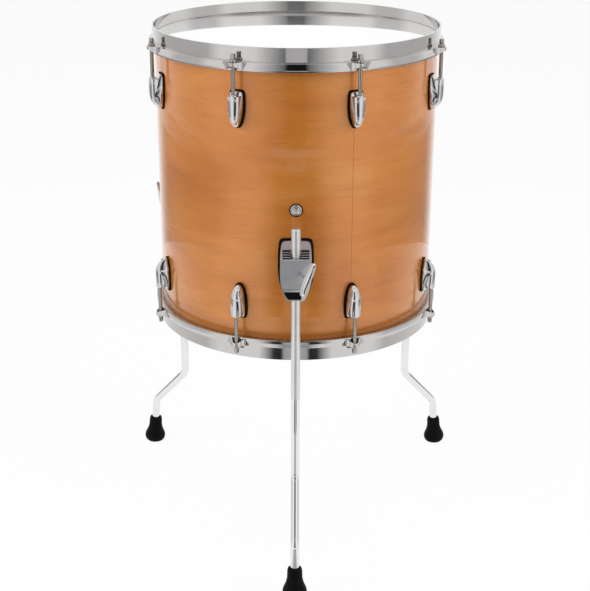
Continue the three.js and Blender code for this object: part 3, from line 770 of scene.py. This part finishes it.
def make_nose(middle):
    """Bullet-shaped housing of the swivel nut, pulled section by section from the rod end to the tip."""
    section = [(NOSE_HALF_WIDTH, NOSE_FOOT)]
    for angle in range(0, NOSE_ARC_END + 1, NOSE_ARC_STEP):
        a = math.radians(angle)
        section.append((NOSE_HALF_WIDTH * math.cos(a), NOSE_CHEEK + NOSE_CAP * math.sin(a)))
    section.append((-NOSE_HALF_WIDTH, NOSE_FOOT))
    top = middle.z + NOSE_TOP * MM
    foot_y = middle.y - NOSE_FOOT * MM
    nose = outline("nose", [(x * NOSE_START * MM, middle.y - y * MM, top) for x, y in section])
    down, across, deep = 0, NOSE_START, 1.0
    for station, width, depth in NOSE_STATIONS:
        pull((0, 0, (down - station) * MM))
        foot = Vector((0, foot_y, top - station * MM))
        bpy.ops.transform.resize(value=(width / across, depth / deep, 1), center_override=foot)
        down, across, deep = station, width, depth
    tidy()
    done()
    rounded(nose, 0.3, angle=BLUNT)
    return nose


def make_rods_and_lugs():
    rod = make_rod()
    middle = Vector((0, AXIS_Y - SHELL_R, SHELL_HIGH.z - LUG_DROP * MM))
    lug = make_lug(middle)
    gasket = make_lug_gasket(middle)
    for side, place in (("batter", Matrix.Identity(4)), ("resonant", upside_down())):
        for i in range(ROD_COUNT):
            there = place @ to_rod(i)
            number = i + 1
            own_rod = f"{side}_rod_{number}"
            dress(copied(rod, f"{side}_tension_rod_{number}", there), ROD_CHROME, "rod_steel",
                  own_rod, own_rod)
            dress(copied(lug, f"{side}_lug_casting_{number}", there), LUG_CHROME, "lug_chrome", "drum",
                  f"{side}_lug_{number}")
            dress(copied(gasket, f"{side}_lug_gasket_{number}", there), GASKET, "gasket_rubber", "drum")
    discard(rod, lug, gasket)


# Legs and feet

# Where the front leg stands, in metres, and its measures in millimetres
LEG_OUT = 27.6
LEG_Y = AXIS_Y - SHELL_R - LEG_OUT * MM
LEG_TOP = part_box("front_leg")[1].z
SLEEVE_LOW = 0.274
SLEEVE_OVERLAP = 4 * MM
GROOVE_Z = 0.398
GROOVE_DEPTH, GROOVE_FLOOR, GROOVE_MOUTH = 0.5, 0.7, 1
SLEEVE_LIP, SLEEVE_RECESS = 0.2, 0.6
SLEEVE_CHAMFER = 1.6
LEG_END = 0.014
LEG_R = 6.35
SLEEVE_R = 6.45
KNEE = Vector((0, LEG_Y, 0.1496))
ANKLE = KNEE + Vector((0, -0.0687, -0.0718))
TOE = Vector((0, ANKLE.y - 0.0071, 0))
BEND_R = 0.024
REAR_ANGLE = math.radians(126.4)
STATIONS = {"front": 0, "right": REAR_ANGLE, "left": -REAR_ANGLE}

# Foot: a bell, three ribs round its neck, and the lip and socket that take the leg. A rib's points give
# its radius, its taper from rib to rib and its height
BELL = [(0, -4), (9, -4), (11.6, -1.6), (13.6, 0.2), (15.5, 2.2), (16.8, 4.8), (17.4, 8), (17.1, 11.4),
        (16.0, 14.8), (14.5, 18.0), (13.1, 21.2), (12.2, 24.4), (11.8, 26.4)]
RIB_COUNT, RIB_LOW, RIB_STEP = 3, 27.4, 5.2
RIB = [(11.2, 0.2, 0), (11.1, 0.2, 2.9), (10.3, 0, 3.3), (10.3, 0, 4.5)]
SOCKET = [(10.2, 43.0), (9.4, 44.8), (7.8, 45.4), (6.9, 44.6), (6.9, 12), (0, 12)]


def bent(corner, before, after):
    """Spins the end of a bar round a corner in the upright plane, and returns where it comes out."""
    into = (corner - before).normalized()
    out = (after - corner).normalized()
    turn = into.angle(out)
    setback = BEND_R * math.tan(turn / 2)
    way = 1 if into.cross(out).x > 0 else -1
    centre = corner - into * setback + Vector((1, 0, 0)).cross(into) * BEND_R * way
    bpy.ops.mesh.spin(steps=BEND_STEPS, angle=turn, center=centre, axis=(-way, 0, 0))
    return corner + out * setback


def make_leg():
    """Bent steel leg: a satin sleeve above, and a bright bar bent outwards at knee and ankle."""
    start = Vector((0, LEG_Y, SLEEVE_LOW + SLEEVE_OVERLAP))
    points = []
    for i in range(LEG_STEPS):
        a = 2 * HALF_TURN * i / LEG_STEPS
        points.append(start + Vector((LEG_R * MM * math.cos(a), LEG_R * MM * math.sin(a), 0)))
    leg = outline("leg", points)
    at = start
    for corner, before, after in ((KNEE, start, ANKLE), (ANKLE, KNEE, TOE)):
        into = (corner - before).normalized()
        turn = into.angle((after - corner).normalized())
        begin = corner - into * BEND_R * math.tan(turn / 2)
        pull(begin - at)
        at = bent(corner, before, after)
    pull((TOE - at) * (1 - LEG_END / at.z))
    tidy()
    done()
    top = (LEG_TOP - SLEEVE_LOW) / MM
    ring = (GROOVE_Z - SLEEVE_LOW) / MM
    lip, groove = LEG_R - SLEEVE_LIP, SLEEVE_R - GROOVE_DEPTH
    sleeve = spun("sleeve", mm([
        (0, SLEEVE_RECESS), (lip, SLEEVE_RECESS), (lip, 0), (SLEEVE_R, 0), (SLEEVE_R, ring - GROOVE_MOUTH),
        (groove, ring - GROOVE_FLOOR), (groove, ring + GROOVE_FLOOR), (SLEEVE_R, ring + GROOVE_MOUTH),
        (SLEEVE_R, top - SLEEVE_CHAMFER), (SLEEVE_R - SLEEVE_CHAMFER, top), (0, top)]),
        (0, LEG_Y, SLEEVE_LOW), LEG_STEPS)
    whole = joined("leg", leg, sleeve)
    smooth(whole, LEG_EDGE)
    return whole


def make_foot():
    """Rubber bell with ribs round its neck, leaning with the leg and flat on the floor."""
    profile = [*BELL]
    for i in range(RIB_COUNT):
        base = RIB_LOW + i * RIB_STEP
        profile += [(r - i * taper, base + z) for r, taper, z in RIB]
    profile += SOCKET
    foot = spun("foot", mm(profile), tuple(TOE), FOOT_STEPS)
    lean = math.atan2(ANKLE.y - TOE.y, ANKLE.z)
    moved(foot, turned_about(TOE, -lean, 'X'))
    cut_flat(foot, (0, 0, 0), (0, 0, -1))
    rounded(foot, 0.35, angle=LEG_EDGE)
    return foot


def make_legs():
    leg = make_leg()
    foot = make_foot()
    for name, angle in STATIONS.items():
        turn = about_drum(angle)
        own_leg = f"{name}_leg"
        dress(copied(leg, f"{name}_bent_leg", turn), LEG_CHROME, "leg_chrome", own_leg, own_leg)
        dress(copied(foot, f"{name}_rubber_foot", turn), RUBBER, "foot_rubber", own_leg, f"{name}_foot")
    discard(leg, foot)


# Leg brackets

# Height of the bracket's middle, and the length of bars that cut right through it, in metres
BRACKET_Z = 0.4578
CORE_LENGTH = 0.14
# Measures in millimetres: across, out from the shell's face and above the bracket's middle
BRACKET_HALF_WIDTH = 24.9
BRACKET_HALF_HEIGHT = 44.4
BODY_MARGIN = 3.2
BODY_TOP = BRACKET_HALF_HEIGHT - BODY_MARGIN
BODY_BACK = 2.3
FORM_BACK = -4
PLATE = 7.0
FRONT = 37.5
BROW_DROP = 14.3
BROW_RUN = FRONT - 3 - PLATE
BROW_SLOPE = math.atan2(BROW_DROP, BROW_RUN)
FRONT_TOP = BODY_TOP - BROW_DROP
FRONT_CHAMFER = 1.2
SHELF_LOW = 7.4 - BODY_TOP
SHELF_TOP = SHELF_LOW + 2.2
SHELF_RUN = FRONT - 2 - PLATE
FRONT_LOW = SHELF_TOP + 11.4
GROOVE_RISE = 3.6
GROOVE_SIZE = (60, 2.4, 1.5)
LEG_GAP = 0.55
SLOT_BACK = 1.6
SLOT_HEIGHT = 30
SLOT_RISE = 13
OUTWARD_CUT = 10
# The outline at the back and at the front, as shares of the half width and half height
BACK_CORNERS = [(0.55, 1), (0.83, 0.965), (0.93, 0.86), (0.98, 0.6), (1, 0.2), (0.985, -0.2), (0.92, -0.5),
                (0.76, -0.78), (0.42, -1)]
FRONT_CORNERS = [(0.55, 1), (0.83, 0.965), (0.92, 0.86), (0.97, 0.6), (0.99, 0.2), (0.95, -0.2),
                 (0.84, -0.42), (0.7, -0.62), (0.42, -0.83)]
# Windows in the brow, and the louvres across them
WINDOW_MIDDLE = (12.6, 28.0)
WINDOW_WIDTH, WINDOW_LENGTH = 11.2, 18.0
WINDOW_DEPTH = 9
WINDOW_BACK, WINDOW_BACK_SUNK = 1.6, 3.6
LOUVRE, LOUVRE_DEPTH, LOUVRE_SUNK, LOUVRE_STEP = 1.15, 2.2, 1.5, 4.5
# The black insert: its right side, and its left side from the top to the bottom
INSERT_RIGHT = 7.5
INSERT_LEFT_HIGH, INSERT_LEFT_MIDDLE, INSERT_LEFT_LOW = -17.0, -14.2, -10.6
INSERT_GAP = 0.2
INSERT_BACK = 1.2
INSERT_LEG_GAP = 0.3
# The gasket under the casting
GASKET_FRONT = 6
GASKET_LOW, GASKET_HIGH = 0.3, 2.0
# The wing bolt's axis, and the flat that the casting has for it
BOLT_Z = BRACKET_Z + 5.7 * MM
BOLT_ANGLE = math.radians(27)
SPOT = 12.2
SPOT_RUN = 50
SPOT_LOW = -80
SPOT_DEPTH = 40
SPOT_CORNER = (2.0, 2.6)
SPOT_RISE = SPOT_RUN * math.tan(math.radians(50))
# Turned parts on the bolt's axis, by radius and distance from the leg's axis
BOLT_BORE = [(0, 1), (2.8, 1), (2.8, 9.7), (2.3, 9.7), (2.3, 40), (0, 40)]
SHANK_PROFILE = [(0, 9.95), (2.0, 9.95), (2.0, 19.0), (2.9, 21.5), (3.3, 25.0), (3.9, 29.6), (0, 29.6),
                 (0, 9.95)]
# The clamp shoe stays inside the casting when it backs off
SHOE_PROFILE = [(0, 6.75), (2.5, 6.75), (2.5, 7.85), (0, 7.85), (0, 6.75)]
# The wing, and its stations: share of the half span, of the width and of the depth, and how far it is hollow
WING_REACH = 36
WING_SPAN = 47
WING_WIDTH = 11.4
WING_DEPTH = 8.2
WING_HOLLOW = 2.4
WING_RIM = 1.5
WING_TILT = math.radians(24)
WING_STATIONS = [(-1, 0.26, 0.3, 0), (-0.975, 0.46, 0.4, 0), (-0.92, 0.64, 0.52, 0.15),
                 (-0.8, 0.78, 0.64, 0.8), (-0.55, 0.9, 0.8, 1), (-0.25, 0.97, 0.94, 1), (0, 1, 1, 1)]
WING_FLAT, WING_ROUND = 0.5, 0.6
WING_SIDE = [(0.94, 0.45), (0.62, 0.85), (0.2, 1)]
WING_FLOOR = [(-0.9, 0.3), (-0.3, 1), (0.3, 1), (0.9, 0.3)]
WING_LEVELS = 2


def bracket_at(x, out, z):
    """A point of the front bracket: across, out from the shell and above its middle, in millimetres."""
    return Vector((x * MM, AXIS_Y - SHELL_R - out * MM, BRACKET_Z + z * MM))


def bracket_plan(corners, margin):
    wide = BRACKET_HALF_WIDTH - margin
    high = BRACKET_HALF_HEIGHT - margin
    right = [(x * wide, z * high) for x, z in corners]
    return smooth_loop([*right, *[(-x, z) for x, z in reversed(right)]])


def bracket_form(name, margin, back, front):
    """The bracket's outer form between two distances from the shell."""
    loops = []
    for corners, out in ((BACK_CORNERS, back), (FRONT_CORNERS, front)):
        loops.append([bracket_at(x, out, z) for x, z in bracket_plan(corners, margin)])
    return lofted(name, loops)


def drum_core(radius):
    """The drum's round body, to a radius in millimetres past the shell's face."""
    return bar("core", SHELL_R + radius * MM, CORE_LENGTH, (0, AXIS_Y, BRACKET_Z), DRUM_STEPS)


def leg_space(gap):
    """The space of the leg with a gap round it."""
    return bar("leg space", (LEG_R + gap) * MM, CORE_LENGTH, (0, LEG_Y, BRACKET_Z), LEG_STEPS)


def on_bolt(piece):
    """Turns a piece made straight ahead of the leg to the bolt's direction."""
    return moved(piece, turned_about(Vector((0, LEG_Y, 0)), BOLT_ANGLE))


def ahead(name, profile):
    """Spins a piece on the wing bolt's axis."""
    piece = spun(name, mm(profile), (0, 0, 0), BOLT_STEPS)
    return on_bolt(facing_front(piece, (0, LEG_Y, BOLT_Z)))


def window_block(name, side, length, thickness, sunk, shift=0):
    """A block lying in the brow's slope at one window, sunk below the surface by its middle."""
    x, out = WINDOW_MIDDLE
    middle = bracket_at(side * x, out, BODY_TOP - BROW_DROP * (out - PLATE) / BROW_RUN)
    slope = Matrix.Rotation(BROW_SLOPE, 4, 'X')
    place = middle + slope @ Vector((0, -shift * MM, -sunk * MM))
    return block(name, (WINDOW_WIDTH, length, thickness), place, BROW_SLOPE)


def make_bracket():
    """Leg bracket: sloping brow with two louvred windows, plain front block, opening and the bolt's flat."""
    casting = bracket_form("bracket", BODY_MARGIN, FORM_BACK, FRONT)
    cut_flat(casting, bracket_at(0, PLATE, BODY_TOP), (0, -math.sin(BROW_SLOPE), math.cos(BROW_SLOPE)))
    cut_flat(casting, bracket_at(0, FRONT, FRONT_TOP - FRONT_CHAMFER), (0, -1, 1))
    cut_flat(casting, bracket_at(0, PLATE, -BODY_TOP), (0, -(SHELF_LOW + BODY_TOP), -SHELF_RUN))
    combined(casting, drum_core(BODY_BACK))
    combined(casting, insert_form("opening", 0, FRONT + OUTWARD_CUT))
    combined(casting, block("groove", GROOVE_SIZE, bracket_at(0, FRONT, FRONT_LOW + GROOVE_RISE)))
    combined(casting, spot_form())
    combined(casting, leg_space(LEG_GAP))
    combined(casting, ahead("bolt bore", BOLT_BORE))
    combined(casting, block("leg slot", (2 * LEG_R + 2 * LEG_GAP, FRONT - LEG_OUT - SLOT_BACK, SLOT_HEIGHT),
                            bracket_at(0, (FRONT + LEG_OUT - SLOT_BACK) / 2, FRONT_TOP + SLOT_RISE)))
    for side in (-1, 1):
        combined(casting, window_block("window", side, WINDOW_LENGTH, WINDOW_DEPTH, 0))
    crisp(casting, 0.5)
    pieces = [casting]
    for side in (-1, 1):
        for i in (-1, 0, 1):
            louvre = window_block("louvre", side, LOUVRE, LOUVRE_DEPTH, LOUVRE_SUNK, i * LOUVRE_STEP)
            rounded(louvre, 0.25)
            pieces.append(louvre)
    return joined("bracket", *pieces)


def spot_form():
    """What the block loses to the bolt: a flat corner with a rising upper edge."""
    x, z = SPOT_CORNER
    corners = [(-SPOT_RUN, z), (-SPOT_RUN, SPOT_LOW), (SPOT_RUN, SPOT_LOW), (x + SPOT_RUN, z + SPOT_RISE),
               (x, z)]
    points = [(a * MM, LEG_Y - SPOT * MM, BOLT_Z + b * MM) for a, b in corners]
    return on_bolt(slab("spot", points, (0, -SPOT_DEPTH * MM, 0)))


def insert_form(name, gap, front):
    """The space of the black insert in the lower front, or the insert itself with a gap round it."""
    low, high = SHELF_TOP + gap, FRONT_LOW - gap
    right = INSERT_RIGHT - gap
    corners = [(right, low), (right, high), (INSERT_LEFT_HIGH + gap, high),
               (INSERT_LEFT_MIDDLE + gap, (low + high) / 2), (INSERT_LEFT_LOW + gap, low)]
    points = [bracket_at(x, PLATE + gap, z) for x, z in corners]
    return slab(name, points, (0, -(front - PLATE - gap) * MM, 0))


def make_bracket_moulding():
    """Black moulding: gasket fitted to the shell, insert round the leg, and the windows' dark backs."""
    gasket = bracket_form("moulding", 0, FORM_BACK, GASKET_FRONT)
    combined(gasket, drum_core(GASKET_HIGH), 'INTERSECT')
    combined(gasket, drum_core(GASKET_LOW))
    smooth(gasket, BLUNT)
    insert = insert_form("insert", INSERT_GAP, FRONT - INSERT_BACK)
    combined(insert, leg_space(INSERT_LEG_GAP))
    crisp(insert, 0.4)
    backs = []
    for side in (-1, 1):
        backs.append(window_block("window back", side, WINDOW_LENGTH, WINDOW_BACK, WINDOW_BACK_SUNK))
    return joined("moulding", gasket, insert, *backs)


def make_wing():
    """Boat-shaped wing: rounded keel towards the hub, raised rims and a hollow along the outer face."""
    stations = [*WING_STATIONS]
    stations += [(-along, width, depth, sunk) for along, width, depth, sunk in reversed(WING_STATIONS[:-1])]
    loops = []
    for along, width, depth, sunk in stations:
        x, d = WING_WIDTH / 2 * width, WING_DEPTH * depth
        rim, floor = x - WING_RIM * width, WING_HOLLOW * sunk
        keel = [(x * a, d * b) for a, b in WING_SIDE]
        right = [(rim, 0), (x - WING_FLAT * width, 0), (x, WING_ROUND), *keel]
        inner = [(rim * a, floor * b) for a, b in WING_FLOOR]
        section = [*inner, *right, *[(-a, b) for a, b in reversed(right)]]
        z = along * WING_SPAN / 2
        loops.append([(a * MM, LEG_Y - (WING_REACH - b) * MM, BOLT_Z + z * MM) for a, b in section])
    wing = lofted("wing", loops)
    applied(wing, "soft form", 'SUBSURF', levels=WING_LEVELS, render_levels=WING_LEVELS)
    smooth(wing, WING_EDGE)
    moved(wing, turned_about(Vector((0, LEG_Y, BOLT_Z)), WING_TILT, 'Y'))
    return on_bolt(wing)


def make_wing_bolt():
    """Wing bolt: a stepped shank that widens to a slim hub, and the wing."""
    shank = ahead("hub", SHANK_PROFILE)
    smooth(shank)
    return joined("wing bolt", shank, make_wing())


def make_brackets():
    bracket = make_bracket()
    moulding = make_bracket_moulding()
    bolt = make_wing_bolt()
    shoe = ahead("shoe", SHOE_PROFILE)
    rounded(shoe, 0.2)
    for name, angle in STATIONS.items():
        turn = about_drum(angle)
        dress(copied(bracket, f"{name}_bracket_casting", turn), CASTING, "bracket_chrome", "drum",
              f"{name}_bracket")
        dress(copied(moulding, f"{name}_bracket_moulding", turn), GASKET, "gasket_rubber", "drum",
              f"{name}_bracket_gasket")
        own_bolt = f"{name}_wing_bolt"
        dress(copied(bolt, f"{name}_winged_bolt", turn), WING_CHROME, "chrome", own_bolt, own_bolt)
        own_shoe = f"{name}_clamp_shoe"
        dress(copied(shoe, f"{name}_shoe", turn), ALLOY, "alloy", own_shoe, own_shoe)
    discard(bracket, moulding, bolt, shoe)


# Air vent, by radius and distance out from the shell's face
VENT_RING = [(4.2, -18), (5.2, -18), (5.2, 0.9), (7.5, 0.9), (7.8, 1.4), (7.4, 2.1), (6.4, 2.6), (5.3, 2.5),
             (4.5, 1.9), (4.2, 1.1), (4.2, -18)]
VENT_WASHER = [(5.3, 0.25), (9.2, 0.25), (9.2, 0.9), (8.8, 1.3), (5.3, 1.3), (5.3, 0.25)]
# The liner: a cone almost closed at its end, whose pale face paints the light seen down the vent
VENT_LINER = [(1.0, -6), (4.15, -6), (4.15, 0.9), (3.9, 0.5), (3.3, -3.5), (1.0, -6)]


def make_vent():
    """Air vent: a chromed, domed ring on a dark washer, and a pale liner whose colour paints the light seen
    inside the vent.
    """
    for name, profile, finish, slot, nodes in (
            ("air_vent_ring", VENT_RING, CHROME, "chrome", ["air_vent"]),
            ("air_vent_washer", VENT_WASHER, GASKET, "gasket_rubber", []),
            ("air_vent_painted_light_liner", VENT_LINER, VENT_LIGHT_FILL_FINISH, "chrome", [])):
        piece = facing_front(spun(name, mm(profile), (0, 0, 0), VENT_STEPS), VENT_PLACE)
        smooth(piece, BLUNT)
        dress(piece, finish, slot, "drum", *nodes)


# Studio

# Camera: place, tilt below the horizon, its small turns about the upright and its own axis, and lens
CAMERA_PLACE = (-0.00476, AXIS_Y - 1.9010, 1.06773)
CAMERA_TILT = 0.36519
CAMERA_PAN, CAMERA_ROLL = -0.0022, 0.0041
SENSOR_WIDTH = 36
LENS = 80.01
CLIP_END = 60
# Levels of the room's light and of the floor's own white
ROOM_LIGHT = 0.33
FLOOR_GLOW = 0.93
FLOOR_TONE, FLOOR_GLOSS = 0.9, 0.9
FLOOR_SIZE = 30
FLOOR_Z = -0.0005
# Softboxes: place, target, size and power
SOFTBOXES = {
    "left box": ((-2.4, AXIS_Y - 1.1, 1.75), (0, AXIS_Y, 0.45), (1.8, 1.9), 52),
    "right box": ((2.4, AXIS_Y - 1.1, 1.75), (0, AXIS_Y, 0.45), (1.8, 1.9), 48),
    "top box": ((0, AXIS_Y + 0.3, 3.2), (0, AXIS_Y, 0.7), (2.6, 2.2), 30),
}
# Cards round the drum: (degrees from the front, grey) pairs, and a (radius, height) line
MAT_Z = 0.001
CARDS = {
    "front card": (
        [(0, 0.012), (6.5, 0.012), (9, 0.20), (32, 1.0), (66, 1.0), (76, 0.68), (98, 0.68), (112, 1.0)],
        [(2.7, 3.2), (2.7, 0.37)]),
    "outer mat": (
        [(0, 0.62), (7.5, 0.60), (8.5, 0.20), (32, 1.0), (60, 1.0), (72, 0.6), (120, 0.6), (150, 1.0)],
        [(4.8, MAT_Z), (3.4, MAT_Z)]),
    "middle mat": (
        [(0, 0.03), (13, 0.06), (31, 1.0), (52, 1.0), (64, 0.55), (90, 0.35), (130, 0.30), (150, 1.0)],
        [(3.4, MAT_Z), (1.25, MAT_Z)]),
    "inner mat": (
        [(0, 0.62), (8, 0.50), (10.5, 0.03), (16, 0.05), (27, 1.0), (60, 1.0), (72, 0.7), (150, 1.0)],
        [(1.25, MAT_Z), (0.68, MAT_Z)]),
    "near mat": ([(0, 0.45), (9, 0.40), (18, 1.0)], [(0.68, MAT_Z), (0.34, MAT_Z)]),
    "upper card": ([(0, 0.02), (20, 0.03), (26, 0.6), (32, 1.0)], [(2.7, 4.9), (2.7, 3.2)]),
}


def make_camera():
    bpy.ops.object.camera_add(location=CAMERA_PLACE)
    camera = bpy.context.object
    turn = (Matrix.Rotation(CAMERA_PAN, 4, 'Z') @ Matrix.Rotation(QUARTER - CAMERA_TILT, 4, 'X')
            @ Matrix.Rotation(CAMERA_ROLL, 4, 'Z'))
    camera.rotation_euler = turn.to_euler()
    camera.data.sensor_width = SENSOR_WIDTH
    camera.data.lens = LENS
    camera.data.clip_end = CLIP_END
    bpy.context.scene.camera = camera


def softbox(name, place, target, size, power):
    bpy.ops.object.light_add(type='AREA', location=place)
    lamp = bpy.context.object
    lamp.name = name
    lamp.data.shape = 'RECTANGLE'
    lamp.data.size, lamp.data.size_y = size
    lamp.data.energy = power
    lamp.rotation_euler = (Vector(target) - Vector(place)).to_track_quat('-Z', 'Y').to_euler()
    lamp.visible_glossy = False


def seen_directly(tree):
    """1 for camera, glossy and transmission rays, which see the plain white surroundings."""
    rays = tree.nodes.new('ShaderNodeLightPath').outputs
    share = rays["Is Camera Ray"]
    for kind in ("Is Glossy Ray", "Is Transmission Ray"):
        either = tree.nodes.new('ShaderNodeMath')
        either.operation = 'MAXIMUM'
        tree.links.new(share, either.inputs[0])
        tree.links.new(rays[kind], either.inputs[1])
        share = either.outputs[0]
    return share


def make_world():
    world = bpy.data.worlds.new("studio")
    bpy.context.scene.world = world
    world.use_nodes = True
    tree = world.node_tree
    level = tree.nodes.new('ShaderNodeMapRange')
    tree.links.new(seen_directly(tree), level.inputs["Value"])
    level.inputs["To Min"].default_value = ROOM_LIGHT
    level.inputs["To Max"].default_value = 1
    sky = tree.nodes["Background"]
    sky.inputs["Color"].default_value = (1, 1, 1, 1)
    tree.links.new(level.outputs[0], sky.inputs["Strength"])


def make_floor():
    bpy.ops.mesh.primitive_plane_add(size=FLOOR_SIZE, location=(0, 0, FLOOR_Z))
    floor = bpy.context.object
    floor.name = "studio_floor"
    finish = Finish("studio floor")
    finish.colour((FLOOR_TONE, FLOOR_TONE, FLOOR_TONE, 1))
    finish.gloss(FLOOR_GLOSS)
    share = finish.spread(seen_directly(finish.tree), 0, 1, 0, FLOOR_GLOW)
    blend = finish.add('MixShader')
    for socket, value in zip(blend.inputs, (share, finish.shader.outputs[0], finish.glow((1, 1, 1, 1)))):
        finish.feed(socket, value)
    finish.surface(blend.outputs[0])
    floor.data.materials.append(finish.material)


def card_finish(name, stops):
    """Grey that changes with the angle about the drum."""
    finish = Finish(name)
    away = finish.reckon('ABSOLUTE', finish.round_drum()[0])
    widest = stops[-1][0]
    share = finish.spread(away, 0, math.radians(widest), 0, 1)
    grey = finish.ramp(share, [(degrees / widest, (value, value, value)) for degrees, value in stops])
    finish.surface(finish.glow(grey))
    return finish.material


def make_card(name, stops, profile):
    """A card round the drum that only chrome and lacquer see."""
    span = math.radians(stops[-1][0])
    card = drawn(name, [(0, AXIS_Y - r, z) for r, z in profile])
    bpy.ops.mesh.spin(steps=CARD_STEPS, angle=2 * span, center=DRUM_AXIS, axis=(0, 0, 1))
    done()
    moved(card, about_drum(span))
    card.data.materials.append(card_finish(name, stops))
    for kind in ("camera", "diffuse", "transmission", "volume_scatter", "shadow"):
        setattr(card, f"visible_{kind}", False)


def make_studio():
    bpy.context.scene.view_settings.view_transform = 'Standard'
    make_world()
    make_floor()
    for name, (stops, profile) in CARDS.items():
        make_card(name, stops, profile)
    for name, (place, target, size, power) in SOFTBOXES.items():
        softbox(name, place, target, size, power)


make_camera()
make_shell()
for side, place, film, film_slot in (
        ("batter", Matrix.Identity(4), BATTER_FILM, "white_film"),
        ("resonant", upside_down(), LOWER_FILM, "clear_film")):
    make_head(side, place, film, film_slot)
    make_rim(side, place)
    make_hoop(side, place)
make_rods_and_lugs()
make_legs()
make_brackets()
make_vent()
make_studio()

deselect()
